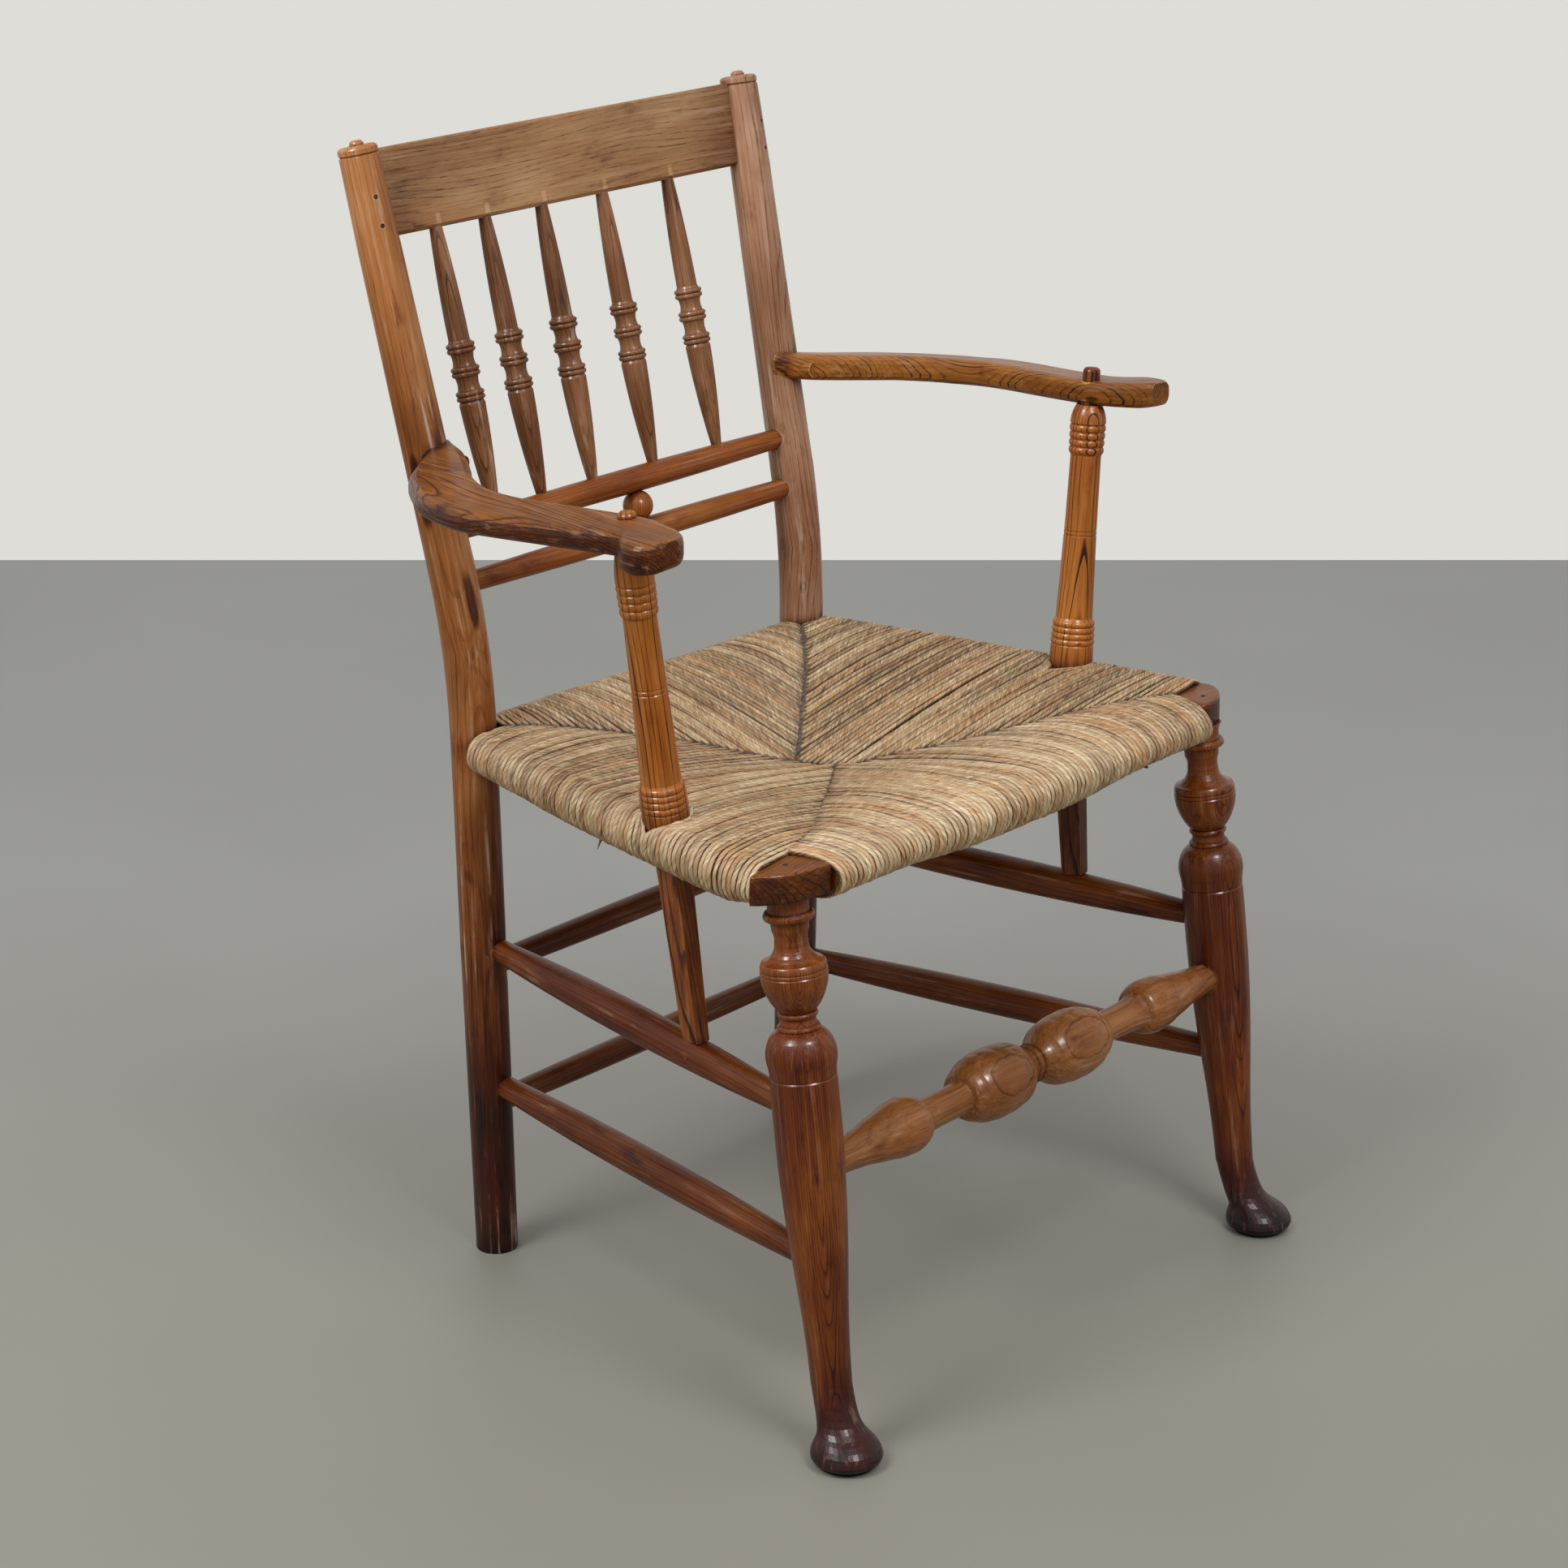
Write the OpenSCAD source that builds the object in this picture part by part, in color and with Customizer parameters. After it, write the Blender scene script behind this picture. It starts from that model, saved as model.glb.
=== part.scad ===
// Country armchair with a spindle back, turned front legs on pad feet and a rush seat.
// The back feet stand at the rear, the chair faces -Y, and Z is up from the floor.

/* [Back posts] */
// Distance between the back feet, centre to centre
feet_w = 365; // [355:1:375]
// Distance between the back posts where they bend
bend_w = 388; // [382:1:394]
// Distance between the back posts at their tops
top_w = 424; // [416:1:432]
// Height of the bend in the back posts
bend_h = 515; // [508:1:522]
// Height of the chair over its post caps
chair_h = 900; // [890:1:915]
// Angle the back leans by, in degrees
back_rake = 13; // [11:0.5:15]
// Radius of the bend, on the centre line of a post
bend_r = 614; // [560:2:640]
// Radius of a back post at the floor
post_foot_r = 17; // [16:0.1:17.6]
// Radius of a back post at the seat and round the bend
post_r = 18.2; // [17.8:0.1:19]
// Radius of a back post under its cap
post_top_r = 15.4; // [15:0.1:16.4]

/* [Crest rail] */
// How far the crest rail's lower edge lies below the tops of the posts
crest_drop = 74; // [72:1:78]
// Width of the crest rail up the slope of the back
crest_h = 67; // [60:1:68]
// Thickness of the crest rail
crest_t = 12.5; // [12:0.1:14]

/* [Back rails and spindles] */
// Height of the upper cross rail
upper_rail_h = 604; // [602:0.5:608]
// Height of the lower cross rail
lower_rail_h = 563.5; // [561:0.5:565]
// Radius of the upper cross rail at its middle
upper_rail_r = 10.4; // [9.6:0.1:10.8]
// Radius of the lower cross rail at its middle
lower_rail_r = 9.8; // [9.4:0.1:10.4]
// Radius of the ball between the cross rails
ball_r = 12.3; // [11.6:0.1:13]
// Distance of the ball from the middle of the back
ball_x = 11.6; // [0:0.2:20]
// Radius of the rings on a back spindle
ring_r = 11.2; // [10.6:0.1:11.8]

/* [Seat frame] */
// Width over the corner blocks
seat_w = 578; // [568:1:588]
// Depth from the back posts' centre line to the front of the corner blocks
seat_d = 400; // [392:1:408]
// Height of the top of the corner blocks
seat_h = 449; // [446:0.5:452]
// Thickness of the corner blocks
block_t = 22; // [21:0.5:24]
// Rounding of the outer front corner of a block
block_round = 35; // [26:1:40]
// Thickness of the seat rails
rail_t = 21; // [19:0.5:22]
// Thickness of the rush wound round the rails
rush_t = 6.3; // [5.6:0.1:7]
// How far the middle of the seat has sunk below its edge
seat_sag = 37; // [30:1:40]

/* [Arms] */
// Thickness of an arm
arm_t = 22; // [20:0.5:24]
// Height of an arm's inner edge where it meets the back post
arm_h = 677; // [673:0.5:680]
// How much higher an arm is at its front than at its back
arm_rise = 7; // [5:0.5:10]
// How far the right arm support's rings sit above their usual place
right_rings_up = 8.5; // [0:0.5:9]
// How far the left arm support's rings sit below it
left_rings_down = 5.5; // [0:0.5:8]

/* [Front legs] */
// Distance a leg's foot stands in front of its top
leg_fwd = 56; // [50:1:60]
// Distance a leg's foot stands outside its top
leg_out = 6; // [2:1:10]
// Radius of a leg at its thickest
leg_r = 26; // [25.4:0.1:27]
// Radius of the round pad under a leg
pad_r = 27; // [26:0.5:28]

/* [Stretchers] */
// Height of the upper side stretchers
side_upper_h = 265.5; // [264:0.5:269]
// Height of the lower side stretchers at the back posts
side_lower_h = 146; // [144:0.5:149]
// Height of the upper rear stretcher
rear_upper_h = 247.5; // [242:0.5:248]
// Height of the lower rear stretcher
rear_lower_h = 127; // [121:0.5:128]
// Height of the turned front stretcher
front_h = 219.5; // [215:0.5:224]
// Radius of the bulbs on the front stretcher
bulb_r = 27; // [25:0.1:28]

/* [Hidden] */
$fn = 48;

// Room left all round a tenon, peg or housed end in its mortise
fit = 0.15;
// Room between the rush and the wood it is wound against
rush_fit = 0.3;

// Distance of a front pad's centre in front of its leg's own foot
toe_fwd = 15;
// Distance of a front leg's top behind the front of its block
leg_behind = 25.2;
// Height of the turned cap on a back post
cap_t = 7;
crest_low = chair_h - crest_drop;
// Slope of the upper posts, as depth over height
lean = tan(back_rake);
// The back feet stand this far behind the origin, which is midway between the fronts of the pads
// and the backs of the post caps
back_y = (seat_d - leg_behind + leg_fwd + toe_fwd + pad_r
    - (chair_h - bend_h) * lean - post_top_r * cos(back_rake) + 1.6) / 2;

post_foot = [feet_w / 2, back_y, 0];
post_knee = [bend_w / 2, back_y, bend_h];
post_tip = [top_w / 2, back_y + (chair_h - bend_h) * lean, chair_h];

// The corner block, from its four corners in plan, and the leg under it
block_out = seat_w / 2;
block_front = back_y - seat_d;
block_rear_in = [block_out - 57, block_front + 39];
block_front_in = [block_out - 66, block_front];
block_rear_out = [block_out, block_front + 49];
leg_top = [block_out - 41, block_front + leg_behind, seat_h - block_t];
leg_foot = [leg_top.x + leg_out, leg_top.y - leg_fwd, 0];
leg_tenon_r = 11;

// Mid height of the seat rails, whose rush stands 3 mm over the corner blocks
rail_z = seat_h + 3 - rush_t - rail_t / 2;
rail_back_half = 11;
rail_front_half = 15;
side_half_back = 14;
side_half_front = 17.5;
side_front = [block_out - 34.5, block_front + 48];
front_rail_y = block_front + rail_front_half;

// Point on the line through a and b at height z
function on_line(a, b, z) = a + (b - a) * (z - a.z) / (b.z - a.z);
// Point on the line through a and b at distance d from a
function along(a, b, d) = a + (b - a) * d / norm(b - a);
// Centre of the right-hand back post and front leg at height z
function post_at(z) = z < bend_h ? on_line(post_foot, post_knee, z) : on_line(post_knee, post_tip, z);
function leg_at(z) = on_line(leg_foot, leg_top, z);
// The same point on the chair's other side
function flip(p) = [-p.x, p.y, p.z];
function mix(a, b, t) = a + (b - a) * t;

// Arc from p to q that stands out by s at its middle, or is hollow where s is negative
function arc(p, q, s, n) =
    s == 0 ? [q] :
    let (
        half = norm(q - p) / 2,
        u = (q - p) / (2 * half),
        w = [u.y, -u.x],
        r = (half * half + s * s) / (2 * s),
        centre = (p + q) / 2 - w * (r - s),
        a = asin(half / r)
    )
    [for (i = [1:n]) let (t = a * (2 * i / n - 1)) centre + r * (w * cos(t) + u * sin(t))];

// Turned outline from steps of [height, radius, bulge], each drawn on from the one before
function outline(steps, n = 6) = [
    for (i = [0:len(steps) - 1])
        each i == 0
            ? [[steps[0][1], steps[0][0]]]
            : arc([steps[i - 1][1], steps[i - 1][0]], [steps[i][1], steps[i][0]], steps[i][2], n)
];

// Solid turned from such steps about the Z axis
module turned(steps, n = 6) {
    last = steps[len(steps) - 1];
    rotate_extrude()
        polygon(concat([[0, steps[0][0]]], outline(steps, n), last[1] > 0 ? [[0, last[0]]] : []));
}

// Puts a part drawn up the Z axis on point o, with Z along d and X turned towards side
module onto(o, d, side = [1, 0.001, 0]) {
    z = d / norm(d);
    across = cross(z, side);
    y = across / norm(across);
    x = cross(y, z);
    multmatrix([
        [x.x, y.x, z.x, o.x],
        [x.y, y.y, z.y, o.y],
        [x.z, y.z, z.z, o.z],
        [0, 0, 0, 1]
    ])
        children();
}

// Hole for the round end a of a part that runs from a towards b
module bore(a, b, r, deep = 40) {
    onto(along(a, b, -fit), b - a)
        cylinder(r = r + fit, h = deep);
}

// Straight turned stick from a to b that swells from its ends to its middle
module stick(a, b, end_r, mid_r, bury) {
    len = norm(b - a);
    onto(a, b - a)
        turned([
            [0, end_r - 1, 0],
            [1, end_r, 0],
            [bury, end_r, 0],
            [len - bury, end_r, mid_r - end_r],
            [len - 1, end_r, 0],
            [len, end_r - 1, 0]
        ], 12);
}

// Back: posts, crest rail, cross rails, spindles and ball

// A frame that lies in the slope of the back, with its origin on the posts' centre plane at height z
module in_slope(z) {
    translate([0, post_at(z).y, z])
        rotate([-back_rake, 0, 0])
            children();
}

// The crest rail's face lies this far in front of the posts' centre plane
crest_face = -2;
crest_tenon_t = 8.5;
crest_tenon_edge = 6;
// The crest tenon reaches this far past the post's centre line
crest_tenon_past = 5;
crest_mid_x = post_at(crest_low + crest_h / 2).x;

module crest_tenon(grow) {
    in_slope(crest_low)
        translate([-crest_mid_x - crest_tenon_past - grow, crest_face + 2 - grow, crest_tenon_edge - grow])
            cube([2 * (crest_mid_x + crest_tenon_past + grow), crest_tenon_t + 2 * grow,
                crest_h - 2 * crest_tenon_edge + 2 * grow]);
}

crest_pin_r = 1.7;
// The pins go in from the front, turned this far to the outside
crest_pin_turn = 20;
crest_pin_up = [10, 32];
crest_pin_reach = 6;

module crest_pin_place(i) {
    z = crest_low + crest_pin_up[i] * cos(back_rake);
    translate(post_at(z))
        rotate([-back_rake, 0, 0])
            rotate([90, 0, crest_pin_turn])
                children();
}

module crest_pin(i) {
    crest_pin_place(i)
        translate([0, 0, -crest_pin_reach])
            cylinder(r = crest_pin_r, h = crest_pin_reach + post_top_r);
}

module crest_pin_hole(i) {
    crest_pin_place(i)
        translate([0, 0, -crest_pin_reach - fit])
            cylinder(r = crest_pin_r + fit, h = 40);
}

cross_end_r = 8.3;

// Ends of a cross rail or rear stretcher at height z, short of the posts' centre lines by inset
function cross_end(z, inset) = post_at(z) - [inset, 0, 0];

side_end_r = 9.5;
rear_end_r = 9.2;
// The side stretchers' ends, inside the posts' centre lines at the back and in the legs at the front
side_inset = 4.5;
// The rear stretchers' ends stop this far inside the posts' centre lines, and the side stretchers'
// ends this far in front of them, so that they pass each other in the post
end_gap = 7;
function side_back(z) = post_at(z) - [side_inset, end_gap, 0];
function side_front_end(z) = leg_at(z) + [0, 4, 0];

side_rail_tenon_r = 7.5;
back_rail_tenon_r = 7;
side_rail_line = [side_front.x - post_at(rail_z).x, side_front.y - back_y, 0];
side_rail_start = [post_at(rail_z).x, back_y, rail_z];

arm_tenon_r = 6.5;
arm_tenon_z = arm_h - 12.5;

// The bent stretch is carried this far on into the straight ones, in degrees of the bend
bend_over = 1.2;

// Room for the bent stretch, which tapers so that it runs out into the straight one below the bend
module run_out(bend) {
    turned([
        [-bend - 9, post_r - 0.27, 0],
        [-bend + 7, post_r + 0.21, 0],
        [-bend + 8, 60, 0],
        [bend + 60, 60, 0]
    ]);
}

module back_post() {
    lower = post_knee - post_foot;
    upper = post_tip - post_knee;
    turn = acos(lower * upper / (norm(lower) * norm(upper)));
    bend = bend_r * tan(turn / 2);
    low = norm(lower) - bend;
    high = norm(upper);
    difference() {
        onto(post_knee, lower, upper) {
            translate([0, 0, -norm(lower)])
                turned([
                    [-3, post_foot_r - 2.5, 0],
                    [2.5, post_foot_r, 0.8],
                    [low * 0.6, post_r + 0.1, 0],
                    [low + 2, post_r, 0]
                ]);
            intersection() {
                translate([bend_r, 0, -bend])
                    rotate([90, 0, 180])
                        rotate(-bend_over)
                            rotate_extrude(angle = turn + 2 * bend_over)
                                translate([bend_r, 0])
                                    circle(post_r + 0.1);
                run_out(bend);
                rotate([0, turn, 0])
                    mirror([0, 0, 1])
                        run_out(bend);
            }
            rotate([0, turn, 0])
                turned([
                    [bend - 2, post_r, 0],
                    [mix(bend, high, 0.75), mix(post_r, post_top_r, 0.55), 0],
                    [high - cap_t - 5.5, post_top_r, 0],
                    [high - cap_t - 4.5, post_top_r - 1.3, 0],
                    [high - cap_t - 3.5, post_top_r - 0.2, 0],
                    [high - 7.2, post_top_r, 0],
                    [high - 4.7, post_top_r - 5, 1.2],
                    [high - 4.4, 5.6, 0],
                    [high - 1.2, 0, 2.2]
                ]);
        }
        translate([post_foot.x, post_foot.y, -10])
            cube([60, 60, 20], center = true);
        crest_tenon(fit);
        for (i = [0, 1])
            crest_pin_hole(i);
        for (z = [upper_rail_h, lower_rail_h])
            bore(cross_end(z, -4), cross_end(z, 20), cross_end_r);
        for (z = [rear_upper_h, rear_lower_h])
            bore(cross_end(z, end_gap), cross_end(z, 20), rear_end_r);
        bore(side_back(side_upper_h), side_front_end(side_upper_h - 2), side_end_r);
        bore(side_back(side_lower_h), side_front_end(side_lower_h + 4.5), side_end_r);
        bore(side_rail_start + [0, -8, 0], side_rail_start + side_rail_line, side_rail_tenon_r);
        bore(cross_end(rail_z, 2), cross_end(rail_z, 20), back_rail_tenon_r);
        bore(arm_tenon_end, arm_tenon_end - [0, 1, 0], arm_tenon_r);
    }
}

module back_post_right() {
    color("saddlebrown")
        back_post();
}

module back_post_left() {
    color("saddlebrown")
        mirror([1, 0, 0])
            back_post();
}

// Straight shape of an upper post, used to fit the boards and arms that meet it
module post_fitting(z0, z1) {
    a = post_at(z0);
    b = post_at(z1);
    l0 = norm(a - post_knee);
    l1 = norm(b - post_knee);
    bend = bend_r * lean / 2;
    high = norm(post_tip - post_knee);
    seventh = mix(bend, high, 0.75);
    mid_r = mix(post_r, post_top_r, 0.55);
    onto(post_knee, post_tip - post_knee)
        turned([
            [l0, mix(post_r, mid_r, (l0 - bend) / (seventh - bend)) + fit, 0],
            [seventh, mid_r + fit, 0],
            [l1, mix(mid_r, post_top_r, (l1 - seventh) / (high - seventh)) + fit, 0]
        ]);
}

module crest_rail() {
    color("sienna")
        difference() {
            union() {
                difference() {
                    in_slope(crest_low)
                        rotate([90, 0, 90])
                            translate([0, 0, -top_w / 2])
                                linear_extrude(top_w)
                                    polygon(concat(
                                        [[crest_face, 3], [crest_face + 3, 0]],
                                        [[crest_face + crest_t - 2, 0]],
                                        arc([crest_face + crest_t - 2, 0], [crest_face + crest_t, 2], 0.6, 3),
                                        [[crest_face + crest_t, crest_h - 3]],
                                        arc([crest_face + crest_t, crest_h - 3],
                                            [crest_face + crest_t - 3, crest_h], 0.9, 3),
                                        [[crest_face + 2.5, crest_h]],
                                        arc([crest_face + 2.5, crest_h], [crest_face, crest_h - 2.5], 0.7, 3)
                                    ));
                    for (side = [0, 1])
                        mirror([side, 0, 0]) {
                            post_fitting(crest_low - 20, crest_low + crest_h + 4);
                            onto(post_at(crest_low), post_tip - post_knee)
                                translate([-9, -40, -40])
                                    cube([80, 80, 160]);
                        }
                }
                crest_tenon(0);
            }
            for (side = [0, 1])
                mirror([side, 0, 0])
                    for (i = [0, 1])
                        crest_pin_hole(i);
            for (i = [0:4])
                bore(spindle_top(i), spindle_foot(i), spindle_tenon_r);
        }
}

module crest_pin_right_upper() {
    color("black")
        crest_pin(1);
}

module crest_pin_right_lower() {
    color("black")
        crest_pin(0);
}

module crest_pin_left_upper() {
    color("black")
        mirror([1, 0, 0])
            crest_pin(1);
}

module crest_pin_left_lower() {
    color("black")
        mirror([1, 0, 0])
            crest_pin(0);
}

// The spindles stand unevenly, as they were drilled by eye
spindle_top_x = [-146, -94, -32, 36, 112];
spindle_foot_x = [-142, -90, -33, 36.5, 112.5];
spindle_tenon_r = 4.3;
spindle_tenon = 10;
spindle_set_back = 3.5;

// The spindles stand on the higher of the two rails
spindle_rail_h = max(upper_rail_h, lower_rail_h);

// Ends of spindle i, deep in the crest rail and in the rail it stands on
function spindle_top(i) =
    let (z = crest_low + spindle_tenon * cos(back_rake))
    [spindle_top_x[i], post_at(z).y + spindle_set_back * cos(back_rake), z];
function spindle_foot(i) =
    let (z = spindle_rail_h - 1)
    [spindle_foot_x[i], post_at(z).y, z];

// Two half-round beads side by side, centred at height z
function double_bead(z, r) = [
    [z - 4, r - 2, 0],
    [z, r - 1.2, 1.7],
    [z + 4, r - 2, 1.7]
];

module back_spindle(i) {
    top = spindle_top(i);
    foot = spindle_foot(i);
    len = norm(top - foot);
    // The shown length, between the rail and the crest
    low = upper_rail_r + 0.6;
    high = len - spindle_tenon;
    shown = high - low;
    ring = [low + shown * 0.4, low + shown * 0.486, low + shown * 0.57];
    onto(foot, top - foot)
        turned(concat(
            [[0, spindle_tenon_r, 0], [low, spindle_tenon_r + 0.1, 0], [ring[0] - 6.5, 10.3, 1]],
            double_bead(ring[0], ring_r),
            [[ring[0] + 5, 9, 0], [ring[1] - 5, 9, -0.6]],
            double_bead(ring[1], ring_r),
            [[ring[1] + 5, 9, 0], [ring[2] - 5, 9, -0.6]],
            double_bead(ring[2], ring_r),
            [[ring[2] + 6, 8.4, 0], [high, 5, 0.8], [high, spindle_tenon_r, 0], [len, spindle_tenon_r, 0]]
        ));
}

module back_spindle_1() {
    color("sienna")
        back_spindle(0);
}

module back_spindle_2() {
    color("sienna")
        back_spindle(1);
}

module back_spindle_3() {
    color("sienna")
        back_spindle(2);
}

module back_spindle_4() {
    color("sienna")
        back_spindle(3);
}

module back_spindle_5() {
    color("sienna")
        back_spindle(4);
}

ball_pin_r = 3.5;
ball_pin_reach = 6;
ball_rail_h = min(upper_rail_h, lower_rail_h);
ball_low = ball_rail_h / cos(back_rake) + lower_rail_r;
ball_high = spindle_rail_h / cos(back_rake) - upper_rail_r;

// The pin that holds the ball, from inside the lower rail to inside the upper one
module ball_pin(grow) {
    low = ball_low - ball_pin_reach - grow;
    high = ball_high + ball_pin_reach + grow;
    in_slope(ball_rail_h)
        translate([ball_x, 0, low - ball_rail_h / cos(back_rake)])
            cylinder(r = ball_pin_r + grow, h = high - low);
}

// One cross rail, tenoned into both posts
module cross_rail(z, r, grow = 0) {
    stick(flip(cross_end(z, -4)), cross_end(z, -4), cross_end_r + grow, r + grow, 24);
}

module spindle_bores() {
    for (i = [0:4])
        bore(spindle_foot(i), spindle_top(i), spindle_tenon_r);
}

module upper_cross_rail() {
    color("sienna")
        difference() {
            cross_rail(upper_rail_h, upper_rail_r);
            spindle_bores();
            ball_pin(fit);
        }
}

module lower_cross_rail() {
    color("sienna")
        difference() {
            cross_rail(lower_rail_h, lower_rail_r);
            spindle_bores();
            ball_pin(fit);
        }
}

module back_ball() {
    mid = (ball_low + ball_high) / 2 - ball_rail_h / cos(back_rake);
    color("peru") {
        difference() {
            in_slope(ball_rail_h)
                translate([ball_x, 0, mid])
                    sphere(ball_r);
            cross_rail(upper_rail_h, upper_rail_r, fit);
            cross_rail(lower_rail_h, lower_rail_r, fit);
        }
        ball_pin(0);
    }
}

// Arms and their supports

// Plan of an arm as sections of [inner x, y, outer x, y, inner thickness, outer thickness], the
// thicknesses as shares of arm_t. Distances are from the back posts' centre line, for a chair with
// its post and support where arm_made says, and they stretch with those two.
// Both arms start with the same sections, and each has its own hand.
arm_shaft = [
    [184, 24, 216, 24, 1, 0.9],
    [189, 16, 220, 16, 1, 0.9],
    [198, -3, 239, 5, 1, 0.86],
    [215, -27, 264, -13, 0.98, 0.8],
    [231, -47, 283, -37, 0.96, 0.76],
    [243, -60, 298, -60, 0.96, 0.74],
    [259, -90, 309, -90, 0.96, 0.74],
    [267, -120, 315, -120, 0.96, 0.75],
    [268, -150, 314, -150, 0.96, 0.76],
    [264, -180, 310, -180, 0.94, 0.78],
    [260.5, -210, 306, -210, 0.92, 0.8]
];
right_hand = [
    [257.5, -240, 304, -238, 0.89, 0.86],
    [259.5, -255, 308, -252, 0.89, 0.9],
    [266, -270, 316, -266, 0.91, 0.94],
    [274, -284, 314, -282, 0.92, 0.94],
    [282, -293, 305, -293, 0.86, 0.86]
];
// The left hand is longer and stands out from the arm with a step
left_hand = [
    [257.5, -240, 302, -240, 0.9, 0.82],
    [258, -262, 299, -262, 0.94, 0.88],
    [261, -272, 306, -270, 0.98, 0.96],
    [265, -282, 315, -280, 1, 1.02],
    [268, -292, 319, -290, 1.02, 1.03],
    [272, -300, 318, -298, 1.02, 1.03],
    [279, -307, 312, -305, 0.98, 1],
    [287, -311, 302, -310, 0.86, 0.86]
];
arm_edge = 7;
// Distance of the post from the middle, of the support's top from the middle, and of the support's
// top from the posts' line, that go with the lists above
arm_made = [201.57, 269.59, -242.2];
// Sections drawn for each one that is listed
arm_fine = 3;

// Smooth curve through the points of list p, at u counted in points
function through(p, u) =
    let (
        i = min(floor(u), len(p) - 2),
        t = u - i,
        a = p[max(i - 1, 0)],
        b = p[i],
        c = p[i + 1],
        d = p[min(i + 2, len(p) - 1)]
    )
    b + (c - a) * t / 2 + (2 * a - 5 * b + 4 * c - d) * t * t / 2 + (3 * b - a - 3 * c + d) * t * t * t / 2;

// Height of the arm's inner edge at distance y from the posts' line: level at the back, then rising
function arm_lift(y) = let (t = max(0, min(1, (-100 - y) / 195))) arm_rise * t * (1.25 - 0.25 * t);
// Sideways slope of the arm's top, steeper at the back
function arm_roll(y) = 0.15 - 0.1 * pow(max(0, min(1, -y / 290)), 2);

// Place in the plan of a point listed above
function arm_spot(x, y) =
    let (share = max(0, min(1, y / arm_made[2])))
    [x * mix(post_at(arm_h).x / arm_made[0], support_top.x / arm_made[1], share),
        y * (support_top.y - back_y) / arm_made[2]];

// One section of the arm: a board with rounded edges that thins towards its outer side
function arm_section(plan, u) =
    let (
        s = through(plan, u),
        inner = arm_spot(s[0], s[1]),
        outer = arm_spot(s[2], s[3]),
        width = norm(outer - inner),
        dir = (outer - inner) / width,
        inner_t = arm_t * s[4],
        outer_t = arm_t * s[5],
        e = min(arm_edge, outer_t / 2 - 0.5),
        top = arm_h + arm_lift(inner.y),
        corners = [[width - e, -e, 0], [e, -e, 90], [e, e - inner_t, 180], [width - e, e - outer_t, 270]]
    )
    [
        for (c = corners)
            for (a = [0, 30, 60, 90])
                let (
                    across = c[0] + e * cos(c[2] + a),
                    up = c[1] + e * sin(c[2] + a),
                    p = inner + dir * across
                )
                [p.x, p.y + back_y, top + up - across * arm_roll(inner.y)]
    ];

// Closed solid over a list of rings with the same number of points each
module lofted(rings) {
    n = len(rings[0]);
    m = len(rings);
    polyhedron(
        points = [for (ring = rings) each ring],
        faces = concat(
            [[for (j = [0:n - 1]) j]],
            [[for (j = [n - 1:-1:0]) (m - 1) * n + j]],
            [
                for (i = [0:m - 2])
                    for (j = [0:n - 1])
                        let (k = (j + 1) % n)
                        each [
                            [i * n + j, (i + 1) * n + j, i * n + k],
                            [i * n + k, (i + 1) * n + j, (i + 1) * n + k]
                        ]
            ]
        )
    );
}

arm_tenon_end = [post_at(arm_tenon_z).x, post_at(arm_tenon_z).y - 1, arm_tenon_z];

// Centre line of the turned arm support, from the side rail up through the arm
support_along = 0.7125;
support_low = side_rail_start + side_rail_line * support_along + [3.2, 0, rail_t / 2];
support_top = [support_low.x + 29.8, support_low.y + 8.6, arm_h + 15];
support_tenon_r = 6.9;
support_base_r = 18;
// How much less the left support's tenon stands out of its arm
left_sunk = 6;

module arm(plan) {
    last = arm_fine * (len(plan) - 1);
    difference() {
        union() {
            difference() {
                lofted([for (k = [0:last]) arm_section(plan, k / arm_fine)]);
                post_fitting(arm_h - 60, arm_h + 40);
                translate([post_at(arm_h).x - 60, back_y + 24, arm_h - 40])
                    cube([120, 60, 80]);
            }
            translate(arm_tenon_end)
                rotate([90, 0, 0])
                    cylinder(r = arm_tenon_r, h = 40);
        }
        onto(support_low, support_top - support_low)
            cylinder(r = support_tenon_r + fit, h = 300);
    }
}

module arm_right() {
    color("chocolate")
        arm(concat(arm_shaft, right_hand));
}

module arm_left() {
    color("chocolate")
        mirror([1, 0, 0])
            arm(concat(arm_shaft, left_hand));
}

// Row of count grooves with rounded beads between them, from height z up, at radii r0 to r1
function grooves(z, pitch, count, r0, r1) = [
    for (i = [0:count - 1])
        let (r = mix(r0, r1, i / count))
        each [[z + i * pitch, r - 1.2, 0], [z + (i + 1) * pitch, r - 1.2, 1.2]]
];

// The part of the support below the rail: a squared stub with a thinner end through the stretcher
stub_top = [side_rail_start.x + side_rail_line.x * support_along, support_low.y, rail_z];
stub_low = [stub_top.x - 6.9, stub_top.y - 17.8, side_upper_h + 11];
stub_end = on_line(stub_top, stub_low, side_upper_h - 12);
stub_wide = [8, 12.5];
stub_thin = [5.8, 9];
stub_tenon = [4.6, 7.6];

module tapered_bar(low, top, len) {
    intersection() {
        rotate([90, 0, 0])
            linear_extrude(100, center = true)
                polygon([[-low[0], 0], [low[0], 0], [top[0], len], [-top[0], len]]);
        rotate([90, 0, 90])
            linear_extrude(100, center = true)
                polygon([[-low[1], 0], [low[1], 0], [top[1], len], [-top[1], len]]);
    }
}

module stub(grow) {
    g = [grow, grow];
    onto(stub_low, stub_top - stub_low, [-side_rail_line.y, side_rail_line.x, 0])
        tapered_bar(stub_thin + g, stub_wide + g, norm(stub_top - stub_low) + rail_t / 2 + 2);
}

module stub_tenon(grow) {
    g = [grow, grow];
    len = norm(stub_end - stub_low) + 4;
    onto(stub_end, stub_low - stub_end, [-side_rail_line.y, side_rail_line.x, 0])
        translate([0, 0, -grow])
            tapered_bar(stub_tenon + g, stub_tenon + g, len + 2 * grow);
}

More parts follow.
